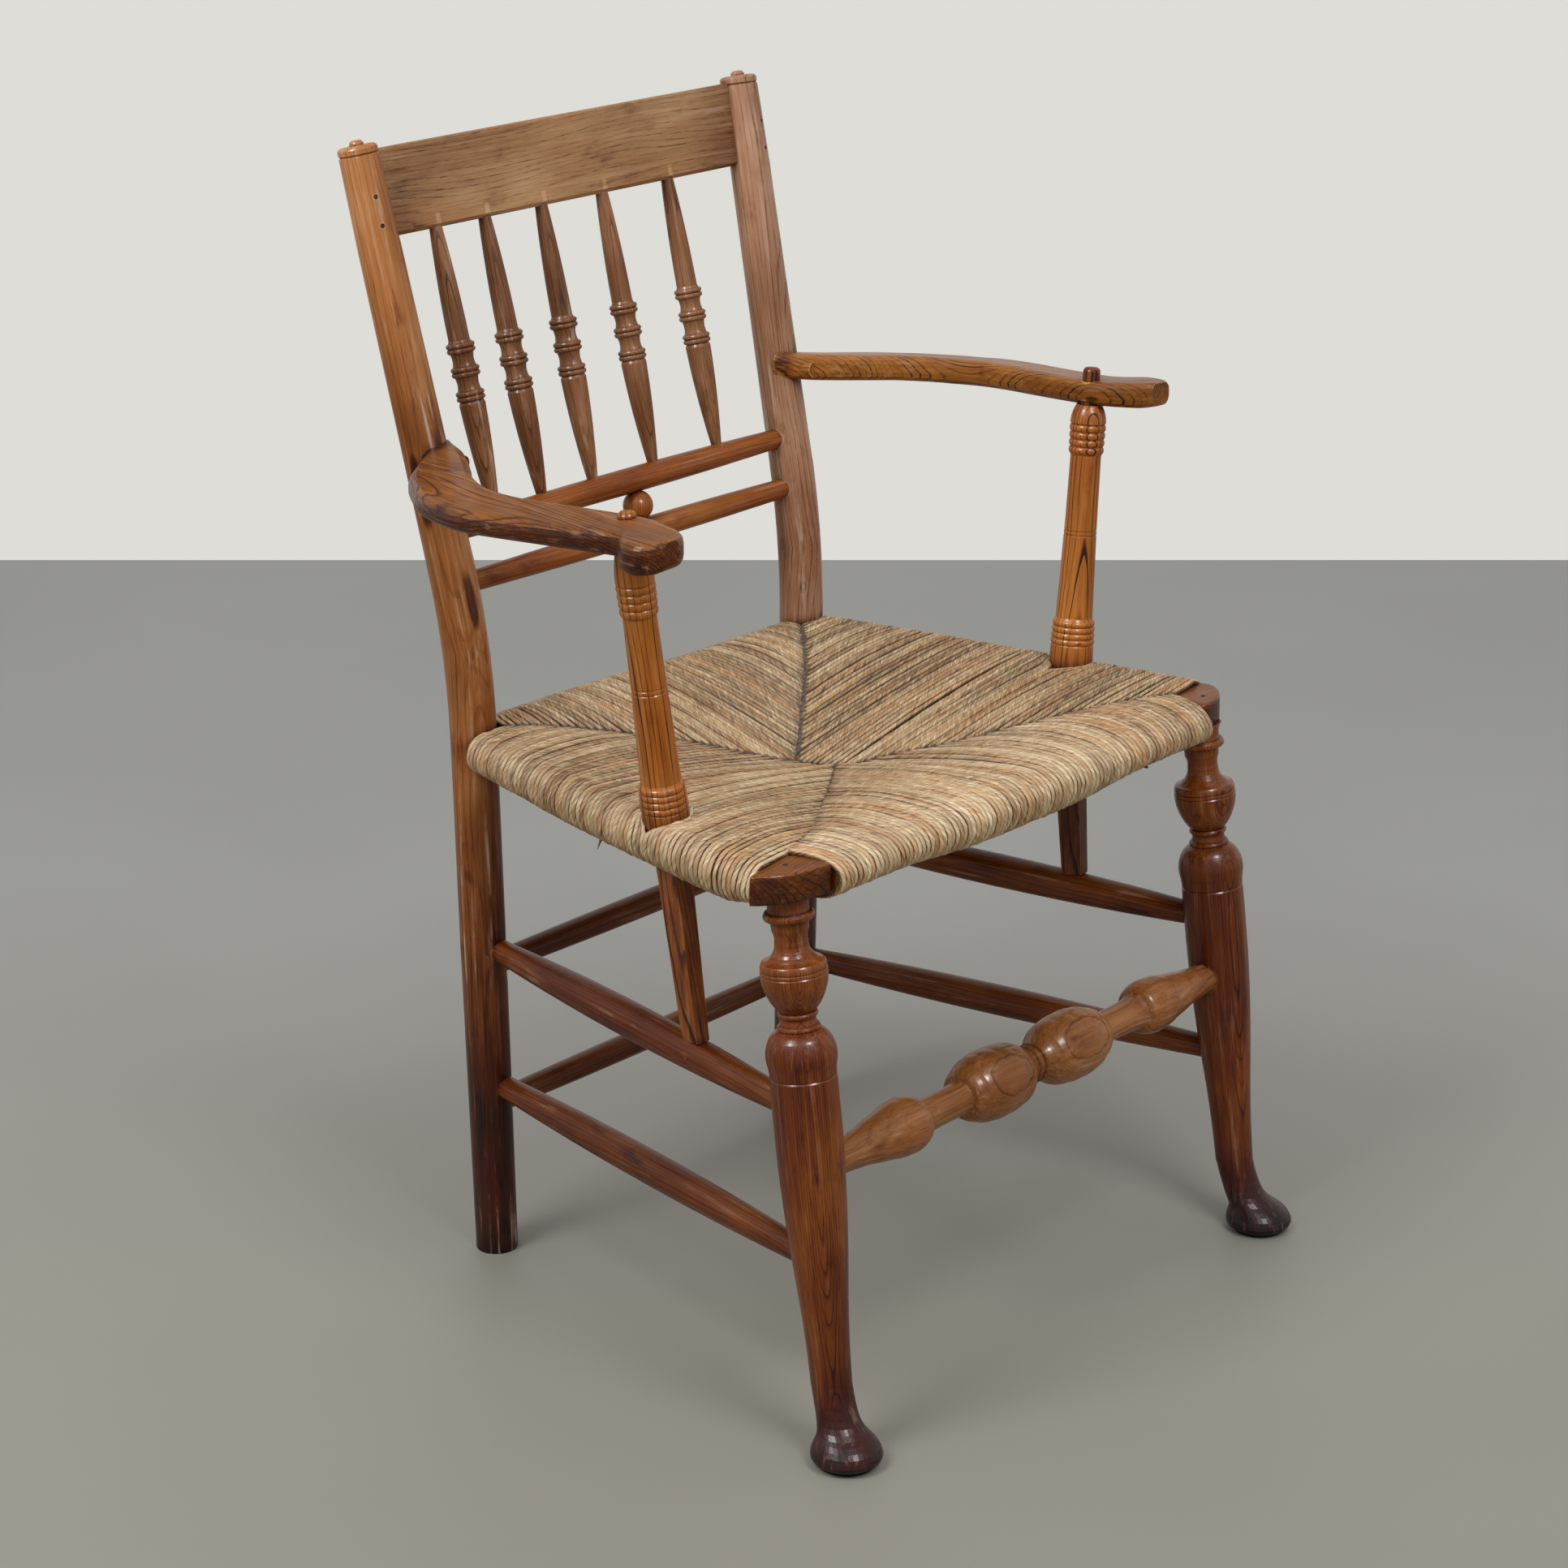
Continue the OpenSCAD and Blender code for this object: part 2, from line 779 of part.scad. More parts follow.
peg_r = 2.6;
peg_reach = 7;
peg_at = on_line(stub_top, stub_low, side_upper_h + 1);

// Peg driven from outside through the stretcher into the stub's tenon
module stretcher_peg_shape(grow) {
    translate(peg_at)
        rotate([0, 90, 10])
            translate([0, 0, -peg_reach - grow])
                cylinder(r = peg_r + grow, h = peg_reach + grow + (grow > 0 ? 30 : 12.6));
}

// Length of the support from its shoulder up, from its rings to the shoulder, and from its
// foot to the lower rings
support_neck = 31;
support_rings = 30;
support_band = 17;
// Radii of the support under its lower rings, at its waist and at its shoulder
support_low_r = 15;
support_waist_r = 13.3;
support_shoulder_r = 14.4;

module arm_support(hand, shift, sunk) {
    full = norm(support_top - support_low);
    len = full - sunk;
    // Height of the arm's underside and of the turned rings, measured up the support
    under = full - support_neck;
    ring = under - support_rings + shift;
    band = support_band + shift * 0.7;
    scribe = full * 0.44 + shift * 0.5;
    difference() {
        union() {
            onto(support_low, support_top - support_low)
                turned(concat(
                    [[fit, support_base_r - 1, 0], [1.5, support_base_r, 0],
                        [band - 1, support_base_r - 0.6, 0]],
                    grooves(band, 5, 4, 18, 17),
                    [[band + 22, support_low_r, 0], [scribe - 1.5, support_waist_r, 0],
                        [scribe - 0.6, support_waist_r - 0.7, 0], [scribe, support_waist_r - 0.1, 0],
                        [scribe + 2.2, support_waist_r - 0.1, 0], [scribe + 2.8, support_waist_r - 0.7, 0],
                        [scribe + 3.6, support_waist_r - 0.2, 0], [ring - 18, support_waist_r - 0.9, 0]],
                    grooves(ring - 17, 6, 4, support_shoulder_r - 0.2, support_shoulder_r + 0.4),
                    [[ring + 8, support_shoulder_r, 0], [under, 10.8, 0.9], [under + 1, 10.6, 0],
                        [under + 1.2, support_tenon_r, 0], [len - 4, support_tenon_r, 0], [len, 3, 1.4]]
                ));
            stub(0);
            stub_tenon(0);
        }
        stretcher_peg_shape(fit);
        cut_arm_clear(hand);
    }
}

// Trims the support's neck to the sloping underside of the arm with this hand
module cut_arm_clear(hand) {
    neck = on_line(support_low, support_top, arm_h + 8 - arm_t);
    difference() {
        onto(neck, support_top - support_low)
            cylinder(r = 14, h = arm_t + 1);
        onto(support_low, support_top - support_low)
            cylinder(r = support_tenon_r + 0.01, h = 300);
        translate([0, back_y, arm_h])
            arm_under(hand);
    }
}

// Half-space under the arm round the support, as a block with the underside's slopes
module arm_under(hand) {
    s = hand[0];
    y0 = support_top.y - back_y;
    thinning = (s[4] - s[5]) * arm_t / (s[2] - s[0]);
    slope = arm_roll(y0) - thinning;
    z = arm_lift(y0) - s[4] * arm_t - slope * (support_top.x - arm_spot(s[0], s[1]).x) - fit * 2;
    reach = 3 * arm_t;
    translate([support_top.x, y0, z])
        rotate([-atan((arm_lift(y0 - 10) - arm_lift(y0 + 10)) / 20), atan(slope), 0])
            translate([-reach, -reach, -reach])
                cube([2 * reach, 2 * reach, reach]);
}

module arm_support_right() {
    color("chocolate")
        arm_support(right_hand, right_rings_up, 0);
}

module arm_support_left() {
    color("chocolate")
        mirror([1, 0, 0])
            arm_support(left_hand, -left_rings_down, left_sunk);
}

// Seat: rails, rush, corner blocks

// Rounded bar section of half-width a and half-height b, for extrusion
function bar_section(a, b, e) = [
    for (c = [[a - e, b - e, 0], [e - a, b - e, 90], [e - a, e - b, 180], [a - e, e - b, 270]])
        for (t = [0, 30, 60, 90])
            [c[0] + e * cos(c[2] + t), c[1] + e * sin(c[2] + t)]
];

rail_round = 5;
rail_tenon = [7, 6];

module front_rail(grow) {
    half = rail_front_half + grow;
    reach = block_rear_in.x - 6.5;
    translate([0, front_rail_y, rail_z])
        rotate([90, 0, 90])
            linear_extrude(2 * reach, center = true)
                polygon(bar_section(half, rail_t / 2 + grow, rail_round));
}

module front_rail_tenons(grow) {
    reach = leg_top.x - leg_tenon_r - 1.5;
    translate([-reach - grow, front_rail_y - rail_tenon[0] - grow, rail_z - rail_tenon[1] - grow])
        cube([2 * (reach + grow), 2 * (rail_tenon[0] + grow), 2 * (rail_tenon[1] + grow)]);
}

// Trims a rail end to the corner blocks
module block_room(grow) {
    translate([0, 0, rail_z])
        linear_extrude(100, center = true)
            polygon([
                block_rear_in + [-grow, grow],
                block_rear_out + [57, grow + 10],
                block_rear_out + [57, -120],
                [block_front_in.x - grow - 13, block_front - 60],
                block_front_in + [-grow, 0]
            ]);
}

module seat_rail_front() {
    color("burlywood") {
        difference() {
            front_rail(0);
            for (side = [0, 1])
                mirror([side, 0, 0])
                    block_room(fit);
        }
        intersection() {
            front_rail_tenons(0);
            translate([-400, -400, 0])
                cube([800, 800, 600]);
        }
    }
}

back_rail_shoulder = post_at(rail_z).x - post_r - 0.2;

module back_rail(grow) {
    translate([0, back_y, rail_z])
        rotate([90, 0, 90])
            linear_extrude(2 * back_rail_shoulder, center = true)
                polygon(bar_section(rail_back_half + grow, rail_t / 2 + grow, rail_round));
}

module seat_rail_back() {
    reach = cross_end(rail_z, 2).x;
    color("burlywood") {
        back_rail(0);
        translate([-reach, back_y, rail_z])
            rotate([0, 90, 0])
                cylinder(r = back_rail_tenon_r, h = 2 * reach);
    }
}

side_len = norm(side_rail_line);
// The side rail's body starts in front of the post
side_shoulder = post_r + 0.4;

module side_rail(grow) {
    onto(side_rail_start, side_rail_line, [0, 0, 1])
        intersection() {
            linear_extrude(side_len + 40)
                polygon(bar_section(rail_t / 2 + grow, side_half_front + 4, rail_round));
            rotate([0, -90, 0])
                linear_extrude(80, center = true)
                    polygon([
                        [side_shoulder - grow, side_half_back + grow],
                        [side_shoulder - grow, -side_half_back - grow],
                        [side_len, -side_half_front - grow],
                        [side_len + 30, -side_half_front - grow],
                        [side_len + 30, side_half_front + grow],
                        [side_len, side_half_front + grow]
                    ]);
        }
}

side_tenon_len = 8;

module side_rail_tenons(grow) {
    onto(side_rail_start, side_rail_line, [0, 0, 1]) {
        translate([-rail_tenon[1] - grow, -rail_tenon[0] - grow, side_len - 30])
            cube([2 * (rail_tenon[1] + grow), 2 * (rail_tenon[0] + grow), 30 + side_tenon_len + grow]);
    }
}

module side_rail_piece() {
    difference() {
        union() {
            difference() {
                side_rail(0);
                block_room(fit);
            }
            side_rail_tenons(0);
            onto(side_rail_start + [0, -8, 0], side_rail_line)
                cylinder(r = side_rail_tenon_r, h = 30);
        }
        stub(fit);
    }
}

module seat_rail_right() {
    color("burlywood")
        side_rail_piece();
}

module seat_rail_left() {
    color("burlywood")
        mirror([1, 0, 0])
            side_rail_piece();
}

block_edge = 2;

// Plan of the block, with its outer front corner rounded
function block_plan(d) = concat(
    [block_rear_in + [d, -d], [block_front_in.x + d, block_front + d]],
    [
        for (t = [270:15:360])
            [block_out - block_round, block_front + block_round] + (block_round - d) * [cos(t), sin(t)]
    ],
    [block_rear_out + [-d, -d]]
);

nail_r = 1.6;
nail_at = [leg_top.x + 2.5, leg_top.y - 1, seat_h - 1];
nail_len = 16;

module corner_block() {
    difference() {
        union() {
            translate([0, 0, seat_h - block_t])
                linear_extrude(block_t - block_edge)
                    polygon(block_plan(0));
            translate([0, 0, seat_h - block_edge])
                linear_extrude(block_edge / 2)
                    polygon(block_plan(0.5));
            translate([0, 0, seat_h - block_edge / 2])
                linear_extrude(block_edge / 2)
                    polygon(block_plan(1.4));
        }
        onto(leg_top, leg_top - leg_foot)
            translate([0, 0, -10])
                cylinder(r = leg_tenon_r + fit, h = block_t - 2.8);
        front_rail_tenons(fit);
        side_rail_tenons(fit);
        translate(nail_at - [0, 0, nail_len])
            cylinder(r = nail_r + fit, h = nail_len + 10);
    }
}

module corner_block_right() {
    color("brown")
        corner_block();
}

module corner_block_left() {
    color("brown")
        mirror([1, 0, 0])
            corner_block();
}

module block_nail() {
    translate(nail_at - [0, 0, nail_len])
        cylinder(r = nail_r, h = nail_len);
}

module block_nail_right() {
    color("dimgray")
        block_nail();
}

module block_nail_left() {
    color("dimgray")
        mirror([1, 0, 0])
            block_nail();
}

// Outer edge of the rush along the side rail at depth y, and its other edges
function side_edge(y) =
    side_rail_start.x + side_rail_line.x * (y - back_y) / side_rail_line.y
    + mix(side_half_back, side_half_front, (back_y - y) / seat_d) + rush_t + 0.4;
rush_back = back_y + rail_back_half + rush_t;
rush_front = block_front - rush_t - 0.5;
rush_roll = rail_t / 2 + rush_t;
// Where the four seams start at the posts and blocks, and where they meet
seam_post = [post_at(rail_z).x - 13, back_y - 13];
seam_mid_back = [0, back_y - 172];
seam_mid_front = [0, back_y - 205];
// Parts of a panel between two seams
rush_parts = 9;

// Outer edge, inner edge of the rail and inner end of the strands at place t along panel k,
// going round from the back
function rush_outer(k, t) =
    k == 0 ? mix([-side_edge(rush_back), rush_back], [side_edge(rush_back), rush_back], t) :
    k == 1 ? let (y = mix(rush_back, rush_front, t)) [side_edge(y), y] :
    k == 2 ? mix([side_edge(rush_front), rush_front], [-side_edge(rush_front), rush_front], t) :
    let (y = mix(rush_front, rush_back, t)) [-side_edge(y), y];
function rush_turn(k, t) =
    k == 0 ? mix([-seam_post.x, seam_post.y], seam_post, t) :
    k == 1 ? mix(seam_post, block_rear_in, t) :
    k == 2 ? mix(block_rear_in, [-block_rear_in.x, block_rear_in.y], t) :
    mix([-block_rear_in.x, block_rear_in.y], [-seam_post.x, seam_post.y], t);
function rush_inner(k, t) =
    k == 0 ? seam_mid_back :
    k == 1 ? mix(seam_mid_back, seam_mid_front, t) :
    k == 2 ? seam_mid_front :
    mix(seam_mid_front, seam_mid_back, t);

// Swell of a panel between its two seams, nearly flat over its middle
function panel_swell(t) = 1 - pow(abs(2 * t - 1), 5);

// A ring of the seat's skin, set in by d from the edge or by share s of the way on from the rail
function rush_ring(d, s, top) = [
    for (k = [0:3])
        for (i = [0:rush_parts - 1])
            let (
                t = i / rush_parts,
                a = rush_outer(k, t),
                c = rush_turn(k, t),
                b = rush_inner(k, t),
                over = norm(c - a),
                edge = min(1, d / rush_roll),
                p = s > 0 ? mix(c, b, s * 0.95) : mix(a, c, 0.9 * d / rush_over),
                far = (s > 0 ? over + s * 0.95 * norm(b - c) : over * d / rush_over) / (over + norm(b - c)),
                roll = rush_roll * sqrt(1 - (1 - edge) * (1 - edge)),
                swell = panel_swell(t) * sin(180 * far) * edge,
                sink = pow(far, 1.15) * edge
            )
            [p.x, p.y,
                rail_z + (top ? roll - seat_sag * sink + 5 * swell : -roll - seat_under * sink - 4 * swell)]
];

// The underside sinks less than the top
seat_under = seat_sag * 0.6;
// Depth of the edge that is rounded over the rails, up to where the seams start
rush_over = 36;
// Rings of the skin, each as a distance from the edge and a share of the way on to the middle
rush_steps = [[0, 0], [1, 0], [5, 0], [11, 0], [19, 0], [36, 0],
    [36, 0.15], [36, 0.35], [36, 0.6], [36, 0.8], [36, 1]];

module rush_body() {
    lofted(concat(
        [for (i = [len(rush_steps) - 1:-1:0]) rush_ring(rush_steps[i][0], rush_steps[i][1], true)],
        [for (i = [1:len(rush_steps) - 1]) rush_ring(rush_steps[i][0], rush_steps[i][1], false)]
    ));
}

module rush_seat() {
    post = post_at(rail_z);
    color("tan")
        difference() {
            rush_body();
            front_rail(rush_fit);
            back_rail(rush_fit);
            for (side = [0, 1])
                mirror([side, 0, 0]) {
                    side_rail(rush_fit);
                    block_room(rush_fit);
                    stub(rush_fit);
                    onto(post_foot, post_knee - post_foot)
                        cylinder(r = post_r + rush_fit, h = 600);
                    translate([post.x - 9, back_y - 8, 300])
                        cube([60, 60, 300]);
                    onto(support_low, support_top - support_low)
                        cylinder(r = support_base_r + rush_fit, h = 30);
                    back_tenon_room();
                }
        }
}

// Room round the tenons between the rails and the post
module back_tenon_room() {
    translate([back_rail_shoulder - 2, back_y, rail_z])
        rotate([0, 90, 0])
            cylinder(r = back_rail_tenon_r + rush_fit, h = 20);
    onto(side_rail_start, side_rail_line)
        cylinder(r = side_rail_tenon_r + rush_fit, h = 30);
}

// Legs and stretchers

// Steps down the leg from the block, as [distance below the block, radius, bulge]
leg_steps = [
    [0.3, 17.6, 0],
    [10, 15, -0.9],
    [13, 15.4, 0],
    [13.2, 17.2, 0],
    [19.2, 17.2, 1.6],
    [19.4, 14, 0],
    [26.5, 13.6, 0],
    [36, 12.3, -0.8],
    [47, 17.4, -1.6],
    [50, 22.9, -0.6],
    [55, 24.2, 0.5],
    [55.6, 23.7, 0],
    [56.4, 24.5, 0],
    [58, 24.6, 0],
    [58.6, 24, 0],
    [59.6, 24.6, 0],
    [74, 21.5, 0.7],
    [86.3, 14.2, 0.7],
    [87, 13.4, 0],
    [91.5, 13.4, 1.5],
    [95, 13.2, -0.4],
    [97, 13.6, 0],
    [101, 15.6, 1.2],
    [101.6, 16.6, 0],
    [109, 23.4, 0.9],
    [119, leg_r, 0.5],
    [128, leg_r - 1, 0.4],
    [135, leg_r - 1.6, 0],
    [135.6, leg_r - 2.2, 0],
    [136.8, leg_r - 1.4, 0],
    [204, leg_r - 1.5, 0.3],
    [290, leg_r - 6.4, 0.6],
    [372, 15.3, -0.8]
];
// Length of the leg that these steps were measured on, and the end of its rings.
// The rings keep their distance from the block, and the long swell takes up the rest.
leg_made = 430.7;
leg_rings = 136.8;
function leg_step(d, len) =
    d <= leg_rings ? d : mix(leg_rings, len, (d - leg_rings) / (leg_made - leg_rings));

// Centre of the round pad, forward of the leg's own foot and a little outside it
pad_at = [leg_foot.x + 5, leg_foot.y - toe_fwd, 0];
// The left leg's pad stands this much further back than the right leg's
left_pad_back = 2.5;
// Height at which the ankle starts to bend forward to the pad
ankle_h = 58;
// Steps up the foot, as [height, how far it has come back from the leg's line to the pad, radius]
foot_steps = [
    [0, 1, pad_r - 6],
    [2.4, 1, pad_r - 5.6],
    [3, 1, pad_r - 4],
    [4.4, 1, pad_r - 1.7],
    [6.2, 1, pad_r - 0.4],
    [8.5, 1, pad_r],
    [11.2, 0.98, pad_r - 0.6],
    [14.4, 0.95, pad_r - 1.9],
    [17.8, 0.89, pad_r - 4],
    [20.8, 0.76, 20.6],
    [23.2, 0.61, 18.7],
    [26.4, 0.45, 17.3],
    [30, 0.33, 16.3],
    [35, 0.23, 15.7],
    [42, 0.13, 15.4],
    [50, 0.05, 15.3],
    [ankle_h, 0, 15.3],
    [ankle_h + 7, 0, 15.1]
];
foot_parts = 40;

module pad_foot(pad) {
    lofted([
        for (s = foot_steps)
            let (c = mix(leg_at(s[0]), [pad.x, pad.y, s[0]], s[1]))
            [for (i = [0:foot_parts - 1])
                let (a = 360 * i / foot_parts)
                c + s[2] * [cos(a), sin(a), 0]]
    ]);
}

module front_leg(pad_back) {
    len = norm(leg_top - leg_foot);
    last = len(leg_steps) - 1;
    // The list runs down from the block, so it is turned over to run up from the ankle
    steps = [
        for (i = [last:-1:0])
            [i == last ? ankle_h : len - leg_step(leg_steps[i][0], len), leg_steps[i][1],
                i == last ? 0 : leg_steps[i + 1][2]]
    ];
    difference() {
        union() {
            onto(leg_foot, leg_top - leg_foot)
                turned(concat(steps, [[len - 0.3, leg_tenon_r, 0], [len + block_t - 14, leg_tenon_r, 0],
                    [len + block_t - 13, leg_tenon_r - 1, 0]]), 5);
            pad_foot(pad_at + [0, pad_back, 0]);
        }
        bore(side_front_end(side_upper_h - 2), side_back(side_upper_h), side_end_r);
        bore(side_front_end(side_lower_h + 4.5), side_back(side_lower_h), side_end_r);
        front_stretcher_end(fit);
        translate(nail_at - [0, 0, nail_len + fit])
            cylinder(r = nail_r + fit, h = nail_len + 10);
    }
}

module front_leg_right() {
    color("saddlebrown")
        front_leg(0);
}

module front_leg_left() {
    color("saddlebrown")
        mirror([1, 0, 0])
            front_leg(left_pad_back);
}

front_end = leg_at(front_h);
front_tenon_r = 9;
front_end_r = 12.4;
// The stretcher's full end is let into the leg a little way, and its tenon goes on
front_housed = 5;
front_reach = 6;
front_shift = 2;

module front_stretcher_end(grow) {
    translate(front_end - [0, 0, 0])
        rotate([0, -90, 0]) {
            translate([0, 0, -front_reach - grow])
                cylinder(r = front_tenon_r + grow, h = 40);
            translate([0, 0, leg_r - 2 - front_housed - grow])
                cylinder(r = front_end_r + grow, h = 30);
        }
}

// Steps out from the middle of the front stretcher to the leg, as [distance, radius, bulge]
front_steps = [
    [0, 13.4, 0],
    [2.6, 13.7, 0],
    [3.4, 15.8, 0],
    [4.6, 14, 0],
    [17, bulb_r - 5.6, -0.8],
    [32, bulb_r - 1, 1.2],
    [46, bulb_r, 0.7],
    [60, bulb_r - 0.6, 0.7],
    [73, bulb_r - 4.4, 0.8],
    [83, bulb_r - 9.6, 0.8],
    [84.4, 13.8, 0],
    [90, 12.9, -0.3],
    [110, 12.7, -0.2],
    [131, 13.7, -0.3],
    [134.4, 15, 0],
    [136, 17.6, 0],
    [141, 20.3, 0.5],
    [154, 21.7, 0.9],
    [170, 19.6, 0.6],
    [190, 16.2, 0],
    [208, 13.7, -0.5],
    [222, front_end_r, -0.2]
];

module front_half(shift) {
    shoulder = front_end.x - leg_r + 2 + front_housed;
    turned(concat(
        [for (s = front_steps) s[0] == 0 ? s : [s[0] + shift, s[1], s[2]]],
        [[shoulder, front_end_r, 0], [shoulder, front_tenon_r, 0],
            [front_end.x + front_reach, front_tenon_r, 0]]
    ));
}

module front_stretcher() {
    color("chocolate")
        translate([0, front_end.y, front_end.z]) {
            rotate([0, 90, 0])
                front_half(front_shift);
            rotate([0, -90, 0])
                front_half(-front_shift);
        }
}

side_mid_r = 14;
lower_mid_r = 13;
rear_mid_r = 10.4;
side_bury = 22;

module side_stretcher_upper() {
    difference() {
        stick(side_back(side_upper_h), side_front_end(side_upper_h - 2), side_end_r, side_mid_r, side_bury);
        stub(fit);
        stub_tenon(fit);
        stretcher_peg_shape(fit);
    }
}

module side_stretcher_lower() {
    stick(side_back(side_lower_h), side_front_end(side_lower_h + 4.5), side_end_r, lower_mid_r, side_bury);
}

module side_stretcher_upper_right() {
    color("brown")
        side_stretcher_upper();
}

module side_stretcher_upper_left() {
    color("brown")
        mirror([1, 0, 0])
            side_stretcher_upper();
}

module side_stretcher_lower_right() {
    color("brown")
        side_stretcher_lower();
}

module side_stretcher_lower_left() {
    color("brown")
        mirror([1, 0, 0])
            side_stretcher_lower();
}

module rear_stretcher(z) {
    stick(flip(cross_end(z, end_gap)), cross_end(z, end_gap), rear_end_r, rear_mid_r, side_bury);
}

module rear_stretcher_upper() {
    color("brown")
        rear_stretcher(rear_upper_h);
}

module rear_stretcher_lower() {
    color("brown")
        rear_stretcher(rear_lower_h);
}

module stretcher_peg_right() {
    color("black")
        stretcher_peg_shape(0);
}

module stretcher_peg_left() {
    color("black")
        mirror([1, 0, 0])
            stretcher_peg_shape(0);
}

back_post_left();
back_post_right();
crest_rail();
crest_pin_left_upper();
crest_pin_left_lower();
crest_pin_right_upper();
crest_pin_right_lower();
back_spindle_1();
back_spindle_2();
back_spindle_3();
back_spindle_4();
back_spindle_5();
upper_cross_rail();
lower_cross_rail();
back_ball();
arm_left();
arm_right();
arm_support_left();
arm_support_right();
seat_rail_front();
seat_rail_back();
seat_rail_left();
seat_rail_right();
rush_seat();
corner_block_left();
corner_block_right();
block_nail_left();
block_nail_right();
front_leg_left();
front_leg_right();
front_stretcher();
side_stretcher_upper_left();
side_stretcher_upper_right();
side_stretcher_lower_left();
side_stretcher_lower_right();
rear_stretcher_upper();
rear_stretcher_lower();
stretcher_peg_left();
stretcher_peg_right();
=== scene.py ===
"""A rush-seated armchair of waxed ash: its woven seat, its finishes and the room it stands in."""

import math
import random

import bmesh
import bpy
from mathutils import Matrix, Vector


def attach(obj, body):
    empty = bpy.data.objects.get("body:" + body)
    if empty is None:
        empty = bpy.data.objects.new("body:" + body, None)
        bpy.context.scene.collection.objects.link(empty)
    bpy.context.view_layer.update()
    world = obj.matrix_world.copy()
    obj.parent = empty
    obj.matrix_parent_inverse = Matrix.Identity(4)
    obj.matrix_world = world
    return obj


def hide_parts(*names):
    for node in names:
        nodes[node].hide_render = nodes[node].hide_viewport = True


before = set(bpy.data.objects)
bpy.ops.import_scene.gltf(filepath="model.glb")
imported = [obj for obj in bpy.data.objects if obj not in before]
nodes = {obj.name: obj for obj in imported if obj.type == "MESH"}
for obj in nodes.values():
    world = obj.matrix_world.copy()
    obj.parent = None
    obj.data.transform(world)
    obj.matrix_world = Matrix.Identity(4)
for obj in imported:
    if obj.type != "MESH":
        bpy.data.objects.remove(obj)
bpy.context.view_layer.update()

# One millimetre in the scene's metres
MM = 0.001


# The camera, as it stood for the photograph

CAMERA_SPOT = (-2.1343, -1.8641, 1.4192)
CAMERA_TURN = math.radians(-48.36)
CAMERA_DIP = math.radians(19.85)
CAMERA_LENS = 87.93


def place_camera():
    lens = bpy.data.cameras.new("camera")
    lens.sensor_width = 36
    lens.lens = CAMERA_LENS
    camera = bpy.data.objects.new("camera", lens)
    camera.location = CAMERA_SPOT
    camera.rotation_euler = (math.pi / 2 - CAMERA_DIP, 0, CAMERA_TURN)
    bpy.context.scene.collection.objects.link(camera)
    bpy.context.scene.camera = camera


# Finishes, written as sums of tones


class Tone:
    """A number, colour or vector that a finish works out at each point."""

    def __init__(self, finish, socket):
        self.finish = finish
        self.socket = socket

    def math(self, operation, *others):
        return self.finish.node("Math", {"operation": operation}, dict(enumerate((self, *others))))

    def __add__(self, other):
        return self.math("ADD", other)

    def __mul__(self, other):
        return self.math("MULTIPLY", other)

    def __sub__(self, other):
        return self.math("SUBTRACT", other)

    def __truediv__(self, other):
        return self.math("DIVIDE", other)

    def __pow__(self, other):
        return self.math("POWER", other)

    def __rsub__(self, other):
        return self.finish.node("Math", {"operation": "SUBTRACT"}, {0: other, 1: self})

    __radd__ = __add__
    __rmul__ = __mul__

    def fade(self, low, high, start=0.0, end=1.0):
        """Goes smoothly from start, where this tone is low, to end, where it is high."""
        return self.finish.node(
            "MapRange",
            {"interpolation_type": "SMOOTHSTEP"},
            {"Value": self, "From Min": low, "From Max": high, "To Min": start, "To Max": end},
        )


class Finish:
    """One material, or the room's world, with its nodes added by expressions."""

    def __init__(self, owner):
        owner.use_nodes = True
        self.owner = owner
        self.tree = owner.node_tree
        self.tree.nodes.clear()

    def node(self, kind, settings=None, values=None, out=0):
        made = self.tree.nodes.new("ShaderNode" + kind)
        for key, setting in (settings or {}).items():
            if key == "stops":
                self.set_stops(made.color_ramp, setting)
            else:
                setattr(made, key, setting)
        for key, value in (values or {}).items():
            if isinstance(value, Tone):
                self.tree.links.new(value.socket, made.inputs[key])
            else:
                made.inputs[key].default_value = value
        return Tone(self, made.outputs[out]) if made.outputs else None

    @staticmethod
    def set_stops(ramp, stops):
        while len(ramp.elements) < len(stops):
            ramp.elements.new(0.5)
        for element, (place, colour) in zip(ramp.elements, stops):
            element.position = place
            element.color = colour + (1,)

    def place(self):
        """A point's place in the scene, in metres."""
        return self.node("TexCoord", out="Object")

    def speckle(self, vector, scale=1.0, detail=2.0, rough=0.5):
        """Noise from 0 to 1 at a place."""
        values = {"Vector": vector, "Scale": scale, "Detail": detail, "Roughness": rough}
        return self.node("TexNoise", {}, values)

    def join(self, x, y, z):
        return self.node("CombineXYZ", {}, {0: x, 1: y, 2: z})

    def split(self, vector):
        first = self.node("SeparateXYZ", {}, {0: vector})
        return [Tone(self, part) for part in first.socket.node.outputs]

    def tint(self, share, first, second, blend="MIX"):
        """A mix of two colours."""
        settings = {"data_type": "RGBA", "blend_type": blend}
        return self.node("Mix", settings, {0: share, 6: first, 7: second}, out=2)

    def crevice(self, reach):
        """1 in the open and less in corners and grooves."""
        return self.node("AmbientOcclusion", {"samples": 6}, {"Distance": reach}, out="AO")

    def ridge(self, reach):
        """More than 0 where a face turns over an edge or a bead within reach."""
        settings = {"samples": 6, "inside": True, "only_local": True}
        return 1 - self.node("AmbientOcclusion", settings, {"Distance": reach}, out="AO")

    def close(self, **sockets):
        """Ends the finish with its shader, and gives its material."""
        values = {key.replace("_", " "): value for key, value in sockets.items()}
        shader = self.node("BsdfPrincipled", {}, values)
        self.node("OutputMaterial", {}, {0: shader})
        return self.owner


